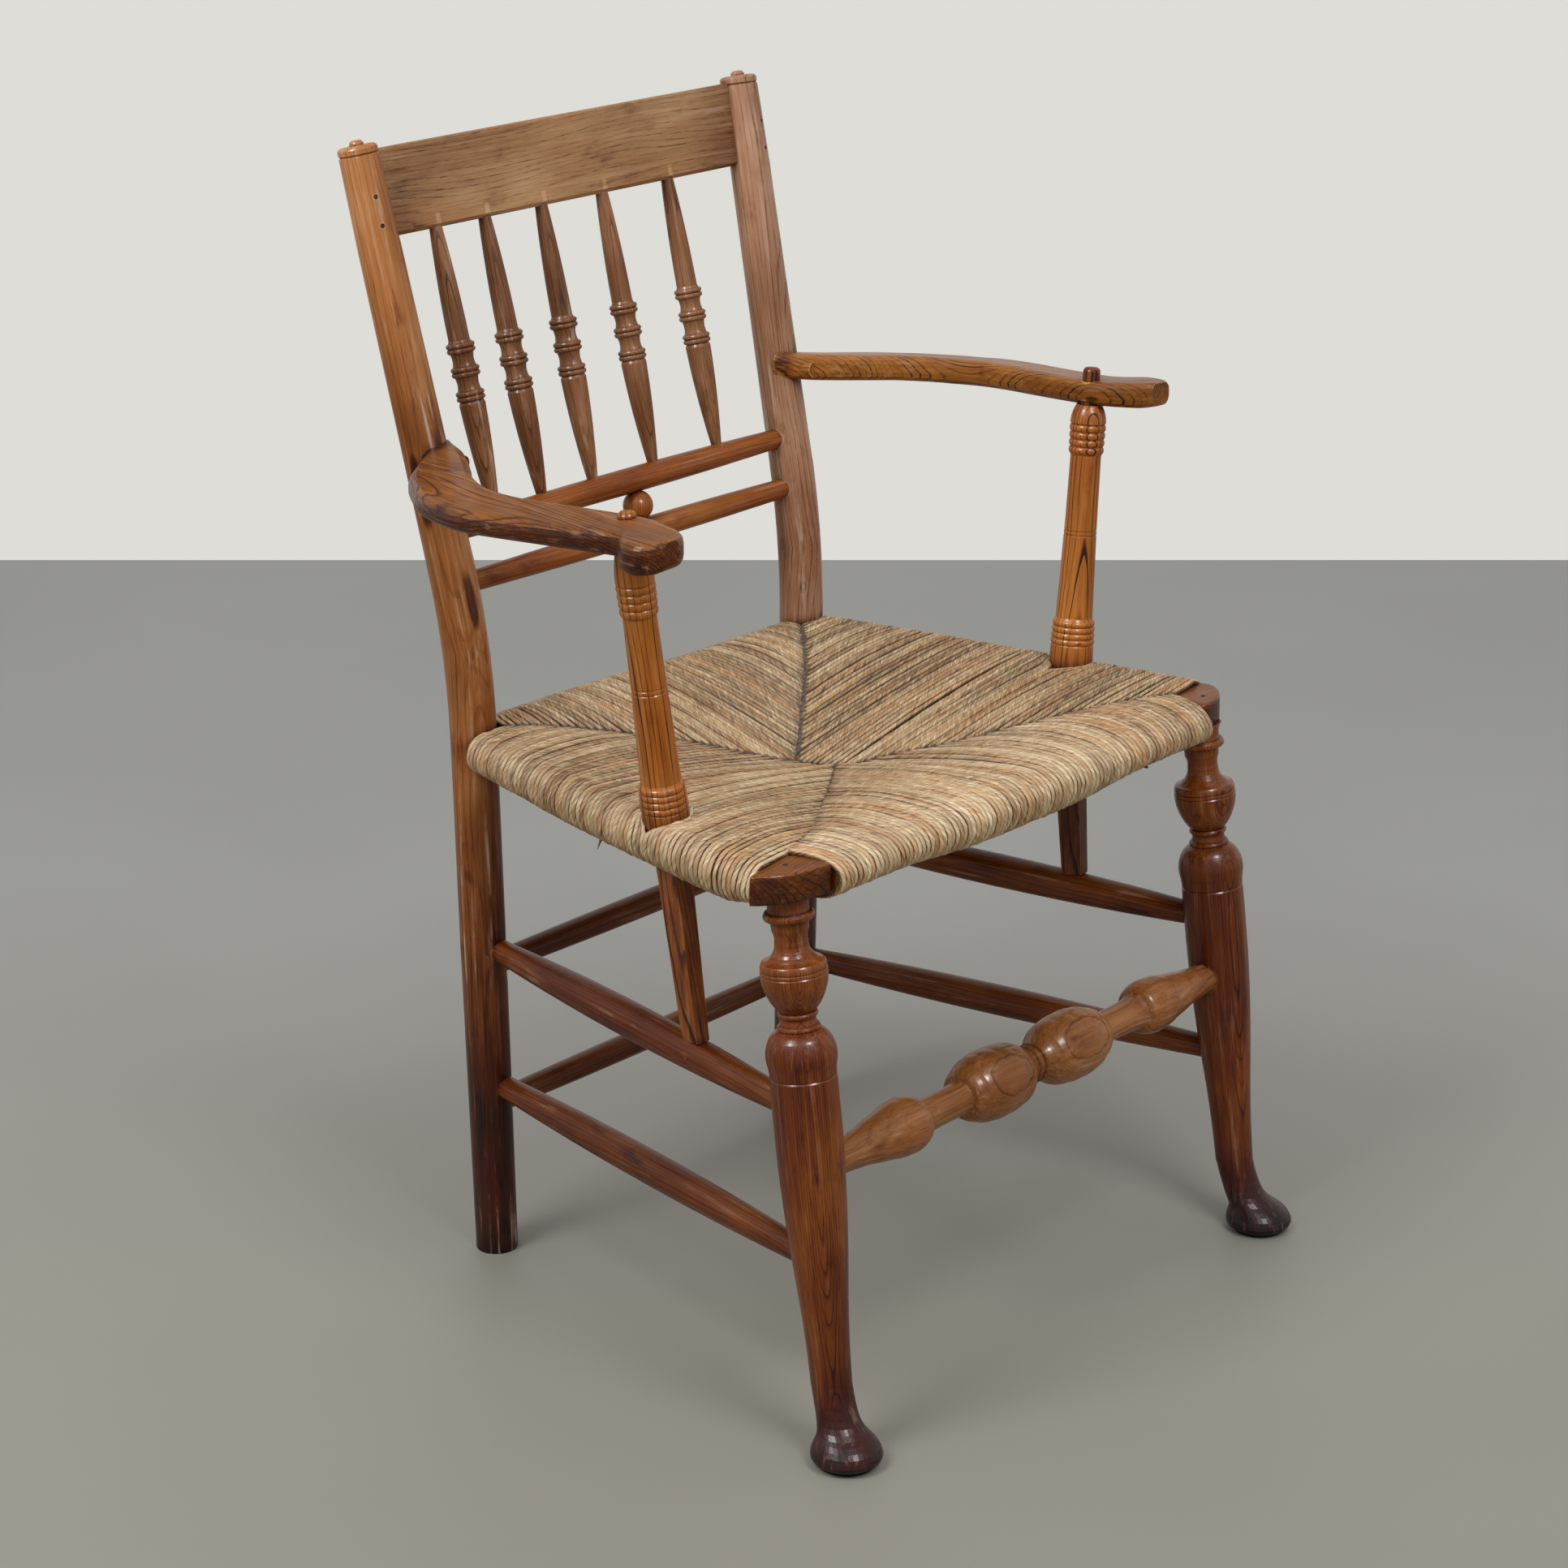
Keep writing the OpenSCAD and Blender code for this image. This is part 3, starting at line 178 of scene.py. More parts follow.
def srgb(*parts):
    """A colour given as it looks on a screen, from 0 to 255."""
    return tuple(
        part / 255 / 12.92 if part / 255 <= 0.04045 else ((part / 255 + 0.055) / 1.055) ** 2.4
        for part in parts
    )


# Wood

# What the pale room's reflection adds to a waxed surface, taken off the colours as they look
SHEEN = 0.0146


def palette(deep, dark, mid, light, pale):
    """Stops from the darkest grain to the palest, given as they look on the waxed piece."""
    places = (0.0, 0.28, 0.52, 0.76, 1.0)
    shown = (srgb(*c) for c in (deep, dark, mid, light, pale))
    return [
        (place, tuple(max(0.0005, part - SHEEN) for part in colour))
        for place, colour in zip(places, shown)
    ]


TURNED_LEG = palette((38, 21, 16), (66, 34, 19), (102, 55, 27), (136, 80, 42), (174, 116, 72))
BACK_POST = {
    "left": palette((40, 23, 15), (78, 43, 23), (126, 78, 44), (162, 110, 68), (196, 152, 112)),
    "right": palette((44, 27, 20), (88, 55, 38), (136, 96, 72), (168, 130, 106), (196, 164, 142)),
}
CREST = palette((62, 42, 30), (98, 68, 48), (138, 102, 72), (164, 128, 92), (190, 156, 120))
SPINDLE = palette((46, 28, 21), (84, 54, 38), (118, 80, 55), (150, 108, 78), (186, 148, 116))
CROSS_RAIL = palette((48, 25, 16), (92, 49, 26), (132, 77, 41), (160, 102, 58), (190, 138, 88))
ARM = palette((40, 22, 13), (80, 46, 23), (126, 79, 40), (160, 107, 56), (194, 147, 92))
SUPPORT = palette((44, 23, 13), (92, 50, 23), (146, 87, 40), (178, 114, 56), (204, 147, 88))
BLOCK = palette((40, 25, 16), (76, 45, 23), (118, 70, 31), (148, 94, 45), (180, 129, 74))
STRETCHER = palette((36, 21, 16), (62, 34, 20), (96, 53, 28), (128, 77, 43), (164, 112, 70))
FRONT_STRETCHER = palette((54, 33, 21), (94, 58, 34), (132, 85, 51), (160, 111, 71), (192, 147, 105))


def lie_along(start, end):
    """Places in mm on a straight piece, with z up it from start."""
    low, high = Vector(start), Vector(end)
    turn = (high - low).to_track_quat("Z", "Y").to_euler()

    def lie(finish):
        spot = finish.node(
            "Mapping",
            {"vector_type": "TEXTURE"},
            {"Vector": finish.place(), "Location": low * MM, "Rotation": turn, "Scale": (MM, MM, MM)},
        )
        return finish.split(spot)

    return lie


# A back post's centre line: how far out and back it stands on the floor, the height of its bend, how
# much it spreads for each mm up, and how much more it spreads and leans back above the bend
POST_OUT = 182.5
POST_BACK = 185.3
POST_BEND = 515
POST_SPREAD = 0.0223
POST_SPREAD_ABOVE = 0.0245
POST_LEAN = 0.2309


def lie_up_post(side):
    """Places in mm on a back post, which leans back above its bend."""

    def lie(finish):
        x, y, z = finish.split(finish.place())
        z = z * 1000
        bent = (z - POST_BEND).math("MAXIMUM", 0)
        centre = POST_OUT + z * POST_SPREAD + bent * POST_SPREAD_ABOVE
        return x * 1000 - centre * side, y * 1000 - POST_BACK - bent * POST_LEAN, z

    return lie


def wood(
    name,
    lie,
    tones,
    seed,
    pith=(30, 22),
    ring=2.6,
    base=0.58,
    lines=0.5,
    pores=0.45,
    wander=5.0,
    sides=0.0,
    worn=0.3,
    pale_rub_and_sheen=0.3,
    shades=(),
    marks=(),
    gloss=0.42,
    wax=0.2,
):
    """A waxed ash finish over places in mm, with z along the piece.

    The rings are tubes round a pith that lies beside the piece, so they run as long lines on straight
    turnings and close into ovals where a turning swells. ring is how wide one is, wander how far they
    sway, and lines and pores how dark those are.
    base is how pale the wood is, worn how pale its edges are, and pale_rub_and_sheen how much of it
    is rubbed pale, partly as a painted pale sheen.
    sides darkens the faces that don't look up, as painted shade.
    shades are (from, to, amount) along the piece, darkest at from.
    marks are dark (x, y, z, width, height) blots.
    """
    finish = Finish(bpy.data.materials.new(name))
    x, y, z = lie(finish)
    sway = finish.speckle(finish.join(x * 0.02 + seed, y * 0.02, z * 0.0045), 1.0, 1.0) - 0.5
    ripple = finish.speckle(finish.join(x * 0.08, y * 0.08 + seed, z * 0.011), 1.0, 2.0) - 0.5
    across = ((x - pith[0]) ** 2 + (y - pith[1]) ** 2) ** 0.5
    year = (across + sway * wander * 2 + ripple * ring * 0.7) / ring
    season = year.math("FRACT")
    year_seed = {"W": year.math("FLOOR") + seed}
    vigour = finish.node("TexWhiteNoise", {"noise_dimensions": "1D"}, year_seed)
    early = season.fade(0.02, 0.3, 1, 0) * (vigour * 0.85 + 0.15)
    pits = finish.speckle(finish.join(x * 1.7 + seed, y * 1.7, z * 0.085), 1.0, 3.0, 0.6).fade(0.5, 0.62)
    fibre = finish.speckle(finish.join(x * 0.75, y * 0.75 + seed, z * 0.013), 1.0, 3.0, 0.6) - 0.5
    patch = finish.speckle(finish.join(x * 0.012, y * 0.012 + seed, z * 0.007), 1.0, 3.0, 0.55)
    stain = finish.speckle(finish.join(x * 0.04 + seed, y * 0.04, z * 0.02), 1.0, 4.0, 0.6)
    streak = finish.speckle(finish.join(x * 0.22, y * 0.22 + seed, z * 0.009), 1.0, 2.0, 0.55)
    # Painted shade, partly grime: darker in grooves, corners and near other pieces
    grime_and_painted_shade = finish.crevice(0.014).fade(0.3, 0.85, 1, 0)
    edge = finish.ridge(0.0017).fade(0.1, 0.55)
    depth = base + fibre * 0.4 + (patch - 0.5) * 0.8 + (streak - 0.5) * 0.35
    depth = depth - early * lines * 0.4 - pits * (early + 0.25) * pores * 0.42
    depth = depth - stain.fade(0.56, 0.76) * 0.22
    for low, high, amount in shades:
        ends = (amount, 0) if low < high else (0, amount)
        depth = depth - (z + (patch - 0.5) * 30).fade(min(low, high), max(low, high), *ends)
    for px, py, pz, width, height in marks:
        near = ((x - px) ** 2 + (y - py) ** 2) / width**2 + ((z - pz) / height) ** 2
        depth = depth - (near + (stain - 0.5) * 0.9).fade(0.25, 1.1, 0.4, 0)
    # Painted shade: faces that don't look up go darker
    if sides:
        up = finish.split(finish.node("TexCoord", out="Normal"))[2]
        depth = depth - up.fade(0.25, 0.8, sides, 0)
    depth = depth + edge * worn - grime_and_painted_shade * 0.4
    colour = finish.node("ValToRGB", {"stops": tones}, {"Fac": depth})
    ruddy = finish.speckle(finish.join(x * 0.018, y * 0.018, z * 0.006 + seed), 1.0, 2.0).fade(0.42, 0.66)
    colour = finish.tint(ruddy * 0.5, colour, srgb(255, 230, 208) + (1,), "MULTIPLY")
    # Pale patches: wood rubbed pale, partly a painted sheen
    rub_and_sheen_patches = streak.fade(0.56, 0.74) * stain.fade(0.42, 0.62)
    colour = finish.tint(rub_and_sheen_patches * pale_rub_and_sheen, colour, srgb(176, 150, 130) + (1,))
    dull = pits * early * 0.2 + grime_and_painted_shade * 0.25 + (streak - 0.5) * 0.3 + (stain - 0.5) * 0.2 + gloss
    height = (stain - 0.5) * 0.5 - pits * early * 0.25 + fibre * 0.3 + streak * 0.4
    normal = finish.node("Bump", {}, {"Height": height, "Strength": 0.45, "Distance": MM})
    return finish.close(
        Base_Color=colour,
        Roughness=dull,
        Normal=normal,
        Coat_Weight=wax,
        Coat_Roughness=0.2,
        Specular_IOR_Level=0.15,
    )


def iron(name, shade):
    """Iron that has gone dark and rusty."""
    finish = Finish(bpy.data.materials.new(name))
    rust = finish.speckle(finish.place(), 900.0, 3.0)
    stops = [(0.3, srgb(*shade)), (0.8, srgb(58, 40, 30))]
    colour = finish.node("ValToRGB", {"stops": stops}, {"Fac": rust})
    return finish.close(Base_Color=colour, Roughness=rust * 0.3 + 0.45, Metallic=0.6)


# Pieces and what they are finished with


def dress(node, material):
    """Gives a turned or sawn piece its finish."""
    mesh = nodes[node].data
    mesh.materials.clear()
    mesh.materials.append(material)


def put_piece(name, shape, material, slot, *stands_for):
    """Puts a finished shape on the chair, in place of some nodes if it stands for them."""
    mesh = bpy.data.meshes.new(name)
    shape.to_mesh(mesh)
    shape.free()
    mesh.materials.append(material)
    piece = bpy.data.objects.new(name, mesh)
    bpy.context.scene.collection.objects.link(piece)
    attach(piece, "root")
    if stands_for:
        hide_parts(*stands_for)
    return piece


def finish_back():
    """Posts, crest rail, spindles, cross rails and the ball between them."""
    knots = {"left": ((-16, -4, 640, 7, 30), (-2, -17, 556, 5, 26)), "right": ((-12, -12, 482, 3, 7),)}
    for side, hand in ((-1, "left"), (1, "right")):
        post = wood(
            f"post_{hand}_wood", lie_up_post(side), BACK_POST[hand], 6.0 + 2.8 * side,
            pith=(-34 * side, 60), base=0.64, ring=3.2, lines=0.5, wander=9, worn=0.15, pale_rub_and_sheen=0.85,
            gloss=0.38, shades=((0, 60, 0.1), (120, 500, 0.42), (800, 640, -0.08)), marks=knots[hand],
        )
        dress(f"back_post_{hand}", post)
        for level in ("upper", "lower"):
            dress(f"crest_pin_{hand}_{level}", iron(f"crest_pin_{hand}_{level}_dark", (16, 12, 10)))
    # Blots in mm from the crest rail's left end, its middle line and its face
    blots = ((-6, 13, 84, 8, 9), (-6, 13, 68, 6, 6), (-6, 7, 95, 6, 7), (-6, 18, 330, 5, 14))
    crest = wood(
        "crest_wood", lie_along((-205, 263, 864), (205, 263, 864)), CREST, 61.0, pith=(-60, -34),
        base=0.72, ring=2.7, lines=0.4, pores=0.95, wander=8, worn=0.25, pale_rub_and_sheen=0.35, gloss=0.42,
        shades=((20, 70, 0.16), (400, 320, 0.22)), marks=blots,
    )
    dress("crest_rail", crest)
    # How far the spindles' tops and feet stand from the middle of the back
    tops = (-146, -94, -32, 36, 112)
    feet = (-142, -90, -33, 36.5, 112.5)
    for i, (top, foot) in enumerate(zip(tops, feet)):
        spindle = wood(
            f"spindle_{i + 1}_wood", lie_along((foot, 205.6, 603), (top, 262.7, 835.7)), SPINDLE,
            70 + 2.3 * i, pith=(14 - 3 * i, 16), ring=2.0, lines=0.7, wander=3, worn=0.2, pale_rub_and_sheen=0.8,
            gloss=0.4,
        )
        dress(f"back_spindle_{i + 1}", spindle)
    upper = wood(
        "upper_cross_rail_wood", lie_along((-202, 205.8, 604), (202, 205.8, 604)), CROSS_RAIL, 84.0,
        pith=(22, 22), ring=2.6, lines=0.5, worn=0.2, gloss=0.38,
    )
    dress("upper_cross_rail", upper)
    lower = wood(
        "lower_cross_rail_wood", lie_along((-200, 196.5, 563.5), (200, 196.5, 563.5)), CROSS_RAIL, 88.0,
        pith=(26, -16), ring=2.6, lines=0.5, worn=0.2, gloss=0.4,
    )
    dress("lower_cross_rail", lower)
    ball = wood(
        "ball_wood", lie_along((11.6, 201, 560), (11.6, 205, 600)), CROSS_RAIL, 91.0, pith=(9, 9),
        ring=2.2, lines=0.6, worn=0.1, gloss=0.3,
    )
    dress("back_ball", ball)


def finish_arms():
    """Arms and their supports."""
    cracks = {"left": ((-15, -4, 30, 0.7, 26), (-12, 8, 52, 9, 0.8)), "right": ()}
    for side, hand in ((-1, "left"), (1, "right")):
        arm = wood(
            f"arm_{hand}_wood", lie_along((206 * side, 205, 664), (268 * side, -120, 671)), ARM,
            5.3 + side, pith=(-58, -20), base=0.57 + 0.06 * side, ring=2.3, lines=1.4, wander=7,
            sides=0.1 - 0.06 * side, worn=0.4, pale_rub_and_sheen=0.3, gloss=0.4, shades=((0, 16, 0.25),),
        )
        dress(f"arm_{hand}", arm)
        support = wood(
            f"support_{hand}_wood", lie_along((239.8 * side, -65.5, 445.7), (269.6 * side, -56.9, 692)),
            SUPPORT, 12.4 + 3 * side, pith=(-26 * side, 36), base=0.62, ring=3.4, lines=1.5, wander=8,
            worn=0.2, shades=((0, 36, 0.3), (238, 205, 0.16)), marks=cracks[hand],
        )
        dress(f"arm_support_{hand}", support)


def finish_frame():
    """Front legs, stretchers with their pegs, and the rails inside the seat."""
    for side, hand in ((-1, "left"), (1, "right")):
        leg = wood(
            f"front_leg_{hand}_wood", lie_along((254 * side, -245.5, 0), (248 * side, -189.5, 427)),
            TURNED_LEG, 31.5 + 4 * side, pith=(14, 26 + 5 * side), base=0.55 - 0.04 * side, ring=2.0,
            lines=0.7, wander=4, worn=0.22, pale_rub_and_sheen=0.2, gloss=0.36, wax=0.28,
            shades=((0, 95, 0.42), (430, 230, -0.12)),
        )
        dress(f"front_leg_{hand}", leg)
        rungs = (
            ("upper", (183.9, 178.3, 265.5), (250.3, -207.2, 263.5)),
            ("lower", (181.3, 178.3, 146), (251.9, -222, 150.5)),
        )
        for level, (x, y, z), (end_x, end_y, end_z) in rungs:
            rung = wood(
                f"{level}_stretcher_{hand}_wood", lie_along((x * side, y, z), (end_x * side, end_y, end_z)),
                STRETCHER, z * 0.3 + side, pith=(24, 20), ring=2.4, lines=0.45, worn=0.12, gloss=0.42,
            )
            dress(f"side_stretcher_{level}_{hand}", rung)
        rail = wood(
            f"seat_rail_{hand}_wood", lie_along((192 * side, 185, 435), (254 * side, -167, 435)), BLOCK,
            50 + side,
        )
        dress(f"seat_rail_{hand}", rail)
        peg = wood(
            f"peg_{hand}_wood", lie_along((230 * side, -100, 266), (230 * side, -60, 266)), STRETCHER,
            55 + side, lines=0.2,
        )
        dress(f"stretcher_peg_{hand}", peg)
    stretcher = wood(
        "front_stretcher_wood", lie_along((-251, -216.8, 219.5), (251, -216.8, 219.5)),
        FRONT_STRETCHER, 95.0, pith=(28, -24), ring=3.4, lines=0.6, wander=4, worn=0.12, pale_rub_and_sheen=0.35,
        gloss=0.36, wax=0.28, shades=((0, 16, 0.3), (502, 486, 0.3)),
    )
    dress("front_stretcher", stretcher)
    for level, z, reach in (("upper", 247.5, 188), ("lower", 127, 185)):
        rung = wood(
            f"rear_stretcher_{level}_wood", lie_along((-reach, POST_BACK, z), (reach, POST_BACK, z)),
            STRETCHER, 99 + z, pith=(22, 24), ring=2.4, lines=0.45, worn=0.12,
        )
        dress(f"rear_stretcher_{level}", rung)
    for end, y in (("front", -204), ("back", 185)):
        rail = wood(f"seat_rail_{end}_wood", lie_along((-232, y, 435), (232, y, 435)), BLOCK, 110.0)
        dress(f"seat_rail_{end}", rail)


# Corner blocks and their nails

# Corner blocks on the plan as the photo shows them, less what the rush hides, from the inner rear
# corner round by the front
BLOCK_PLANS = {
    "left": [
        (-228, -172.5), (-223.5, -214), (-235, -212.7), (-246, -211), (-256, -208.6), (-265, -205),
        (-274, -199.7), (-282, -193), (-288, -185.5),
    ],
    "right": [
        (236, -165), (228, -206), (242, -205.4), (253, -203), (262, -199.3), (271, -193),
        (278, -185), (281, -176), (278.5, -168), (271, -163),
    ],
}
# Heights up a block's side and across its top, and how far each ring lies in
BLOCK_RINGS = [
    (427, 3), (427.3, 0.6), (429, 0), (446, 0.4), (447.9, 1.1), (448.7, 2), (449, 3.4), (449, 8),
]
# Where the right block's nail stands, its head's radii below and above, its thickness and the height
# of its middle
NAIL_AT = (250.5, -190.5)
NAIL_FOOT = 2.3
NAIL_TOP = 2.0
NAIL_THICK = 2
NAIL_H = 448.2


def saw_block(hand, material):
    """A corner block with worn arrises."""
    plan = [Vector(corner) for corner in BLOCK_PLANS[hand]]
    # Each round cuts every corner of the plan off, at these shares of the sides next to it
    for share in (0.22, 0.25):
        cut = []
        for k, corner in enumerate(plan):
            cut.append(corner.lerp(plan[k - 1], share))
            cut.append(corner.lerp(plan[(k + 1) % len(plan)], share))
        plan = cut
    middle = sum(plan, Vector((0, 0))) / len(plan)
    block = bmesh.new()
    foot = block.faces.new([block.verts.new((*corner, 0)) for corner in plan])
    verts, edges = list(foot.verts), list(foot.edges)
    lain_in = 0
    for k, (height, inset) in enumerate(BLOCK_RINGS):
        if k:
            grown = bmesh.ops.extrude_edge_only(block, edges=edges)["geom"]
            verts = [part for part in grown if isinstance(part, bmesh.types.BMVert)]
            edges = [part for part in grown if isinstance(part, bmesh.types.BMEdge)]
        for vert in verts:
            vert.co.xy += (vert.co.xy - middle).normalized() * (lain_in - inset)
            vert.co.z = height
        lain_in = inset
    bmesh.ops.edgeloop_fill(block, edges=edges)
    bmesh.ops.recalc_face_normals(block, faces=block.faces)
    bmesh.ops.scale(block, vec=(MM, MM, MM), verts=block.verts)
    for face in block.faces:
        face.smooth = True
    put_piece(f"worn_block_{hand}", block, material, "block_wood", f"corner_block_{hand}")


def set_nail(hand, side, material):
    """The low head of the nail in a corner block."""
    nail = bmesh.new()
    bmesh.ops.create_cone(
        nail,
        cap_ends=True,
        segments=20,
        radius1=NAIL_FOOT * MM,
        radius2=NAIL_TOP * MM,
        depth=NAIL_THICK * MM,
    )
    spot = (NAIL_AT[0] * side * MM, NAIL_AT[1] * MM, NAIL_H * MM)
    bmesh.ops.translate(nail, vec=spot, verts=nail.verts)
    put_piece(f"nail_head_{hand}", nail, material, "nail_iron", f"block_nail_{hand}")


def finish_blocks():
    for side, hand in ((-1, "left"), (1, "right")):
        block = wood(
            f"block_{hand}_wood", lie_along((200 * side, -190, 437), (289 * side, -200, 437)), BLOCK,
            21.5 + side, pith=(-40, -30), base=0.49, ring=2.6, lines=0.8, pores=0.3, wander=6,
            sides=0.2, worn=0.4, pale_rub_and_sheen=0.12, gloss=0.36,
        )
        saw_block(hand, block)
        set_nail(hand, side, iron(f"nail_{hand}_iron", (26, 21, 19)))


# The rush seat

# Height of the rails' middle, and half the thickness of rail and rush
RAIL_H = 435.2
ROLL = 16.8
# How far in from the edge the roll over each rail reaches
ROLL_IN = {"back": 24.0, "front": 24.0, "left": 17.5, "right": 17.5}
# How deep the seat sinks to its middle, above and below
SAG = 37.0
UNDER_SAG = 22.0
# A strand's radius, the sides of its section, and the room for each strand along its rail
STRAND = 2.4
STRAND_SIDES = 8
PITCH = 4.65
# Where the rush ends at the back and the front, half its width at the back, and how much that grows
# for each mm forward
BACK_EDGE = 202.4
FRONT_EDGE = -221.4
SIDE_EDGE = 209.7
SIDE_FLARE = 0.1858
# Seams on the plan, from each corner to the middle
SEAMS = {
    "back_right": [(178, 172), (143, 138), (108, 105), (85, 86), (57, 64), (20, 34), (-9, 12)],
    "back_left": [(-178, 172), (-142, 146), (-104, 104), (-66, 62), (-40, 35), (-9, 12)],
    "front_right": [(233, -176), (169, -139), (114, -114), (66, -86), (27, -50), (1, -24)],
    "front_left": [(-233, -176), (-184, -158), (-141, -127), (-69, -75), (-14, -32), (1, -24)],
}
# The short ridge that joins them
RIDGE = [(-9, 12), (1, -24)]
# From where to where the strands lie along each rail
RUNS = {"back": (-174.5, 174.5), "front": (-223.5, 223.5), "left": (-176, 170), "right": (-176, 170)}
# Where the right arm support stands on the rush, and how far the strands keep from its middle
SUPPORT_AT = (239.8, -65.5)
SUPPORT_ROOM = 18.0
# How far the rush swells past its rails: outward, over and under, then the middle and spread of it
SWELLS = {
    "back": (1.5, 4.2, 0.0, -160, 170),
    "front": (2.0, 0.5, 7.0, 0, 110),
    "left": (5.0, 1.2, 4.0, -80, 190),
    "right": (4.5, 2.5, 2.0, -40, 230),
}
# How far the side strands lean forward at the corner blocks, or back where it is less than 0
LEANS = {"left": 11.0, "right": -7.0}
# The side strands draw up under their rail from here forward, over this length and by this much
SNUG_FROM = -145
SNUG_OVER = 31
SNUG = 5.5
# Short ends of rush that have worked loose under the seat's edge
LOOSE_ENDS = {
    "left": [[(-239, -3, 424), (-245, -3, 419), (-249, -3, 412)]],
    "front": [
        [(-15, -200, 420), (-5, -206, 418.5), (5, -208, 418), (12, -203, 418)],
        [(146, -204, 421), (154, -208, 418.5), (160, -203, 417)],
    ],
}


def side_edge(y):
    """Half the seat's width at depth y."""
    return SIDE_EDGE + (BACK_EDGE - y) * SIDE_FLARE


def seam_at(points, along, want):
    """The other coordinate of a seam where coordinate number along is want, and how far in it is."""
    other = 1 - along
    for i, (a, b) in enumerate(zip(points, points[1:])):
        if (a[along] - want) * (b[along] - want) <= 0 and a[along] != b[along]:
            t = (want - a[along]) / (b[along] - a[along])
            return a[other] + (b[other] - a[other]) * t, (i + t) / (len(points) - 1)
    return None


def inner_end(panel, at):
    """Where a strand at that place along its rail ends, how deep the seat has sunk there, and whether
    it lies over the strands of the next panel."""
    if panel in ("back", "front"):
        spots = [(f"{panel}_left", panel == "back"), (f"{panel}_right", panel == "front")]
        along = 0
    else:
        spots = [(f"back_{panel}", panel == "right"), (f"front_{panel}", panel == "left")]
        along = 1
    for seam, over in spots:
        found = seam_at(SEAMS[seam], along, at)
        if found:
            return found[0], found[1], over
    return seam_at(RIDGE, along, at)[0], 1.0, panel == "left"


def strand_path(panel, at, rng):
    """Centre line of one strand, from its upper end at the seam, out over the rail and back under it.
    Points are (distance in from the seat's edge, height)."""
    end, sunk, over = inner_end(panel, at)
    out, above, below, middle, spread = SWELLS[panel]
    full = math.exp(-(((at - middle) / spread) ** 4))
    if panel == "back":
        edge = BACK_EDGE + out * full
        reach = edge - end
    elif panel == "front":
        edge = FRONT_EDGE - out * full
        reach = end - edge
    else:
        edge = side_edge(at) + out * full
        reach = edge - abs(end) if end * (1 if panel == "right" else -1) > 0 else edge + abs(end)
    core = ROLL - STRAND
    snug = min(1.0, max(0.0, (SNUG_FROM - at) / SNUG_OVER)) if panel in ("left", "right") else 0.0
    below = below * (1 - snug) - SNUG * snug
    upper, lower = core + above * full, core + below * full
    roll_in = min(ROLL_IN[panel], reach * 0.6)
    lift = rng.uniform(-0.4, 0.4)
    # How far the stuffing fills the strand out between rail and seam
    puff = 3.4 * math.sin(math.pi * min(1.0, sunk * 1.1)) if sunk < 1 else 2.0

    def level(d, top):
        """Height of the strand on top or underneath, at a distance in from the seat's edge."""
        past_rail = max(0.0, d - roll_in) / max(1.0, reach - roll_in)
        drop = (SAG if top else UNDER_SAG) * (sunk * past_rail) ** 1.42
        swell = puff * math.sin(math.pi * min(1.0, past_rail))
        spare = full * (1 - min(1.0, past_rail)) ** 2
        if top:
            return RAIL_H + core + above * spare - drop + swell + lift
        return RAIL_H - core - below * spare - drop * 0.9 - swell

    # Up out of the seam, over the seat to the rail, round it and back to the seam underneath
    seam = level(reach, True)
    if over:
        points = [(reach + 2.4, seam - 6.3), (reach + 2.6, seam - 2.9), (reach + 1.2, seam - 0.3)]
    else:
        points = [(reach + 3.0, seam - 7.0), (reach - 0.6, seam - 3.4)]
    near = reach - 4.2
    steps = max(3, int((reach - roll_in) / 11))
    if near > roll_in:
        for k in range(steps + 1):
            d = near + (roll_in - near) * k / steps
            points.append((d, level(d, True)))
    for k in range(1, 12):
        turn = math.pi * k / 12
        rise = math.cos(turn) * (upper if turn < math.pi / 2 else lower)
        points.append((roll_in * (1 - math.sin(turn)) + STRAND, RAIL_H + rise))
    steps = max(2, int((reach - roll_in) / 22))
    for k in range(steps + 1):
        d = roll_in + (reach - roll_in) * k / steps
        points.append((d, level(d, False)))
    points.append((reach + 2.0, level(reach, False) + 6.0))
    return points, edge


def part_round(along, outward, height):
    """Strands of a side panel spread round the foot of the arm support, and close up again under it."""
    support_x, support_y = SUPPORT_AT
    gap = along - support_y
    room = SUPPORT_ROOM * max(0.0, 1 - ((outward - support_x) / (SUPPORT_ROOM + 2)) ** 2) ** 0.7
    room *= min(1.0, max(0.0, (height - RAIL_H + 3.0) / 11.0))
    push = (abs(gap) ** 3 + room**3) ** (1 / 3) - abs(gap)
    return along + math.copysign(push * math.exp(-((gap / 34.0) ** 2)), gap)


def place_in(panel, edge, inward, along, aside, height):
    """Turns a panel's own measures into a place on the seat, aside from a strand's middle line."""
    if panel == "back":
        return along + aside, edge - inward, height
    if panel == "front":
        # The strands fan out a little past the corner blocks
        fan = 1 + 0.04 * min(1.0, max(0.0, inward - 6) / 36)
        return (along + aside) * fan, edge + inward, height
    side = 1 if panel == "right" else -1
    outward = edge - inward
    # They lean most at the outer edge and in front, and not behind the arm support
    lean = min(1.0, max(0.0, (outward - 215) / 65)) * min(1.0, max(0.0, (-70 - along) / 106)) ** 1.5
    forward = part_round(along, outward, height) - LEANS[panel] * lean
    return side * outward, forward + aside, height


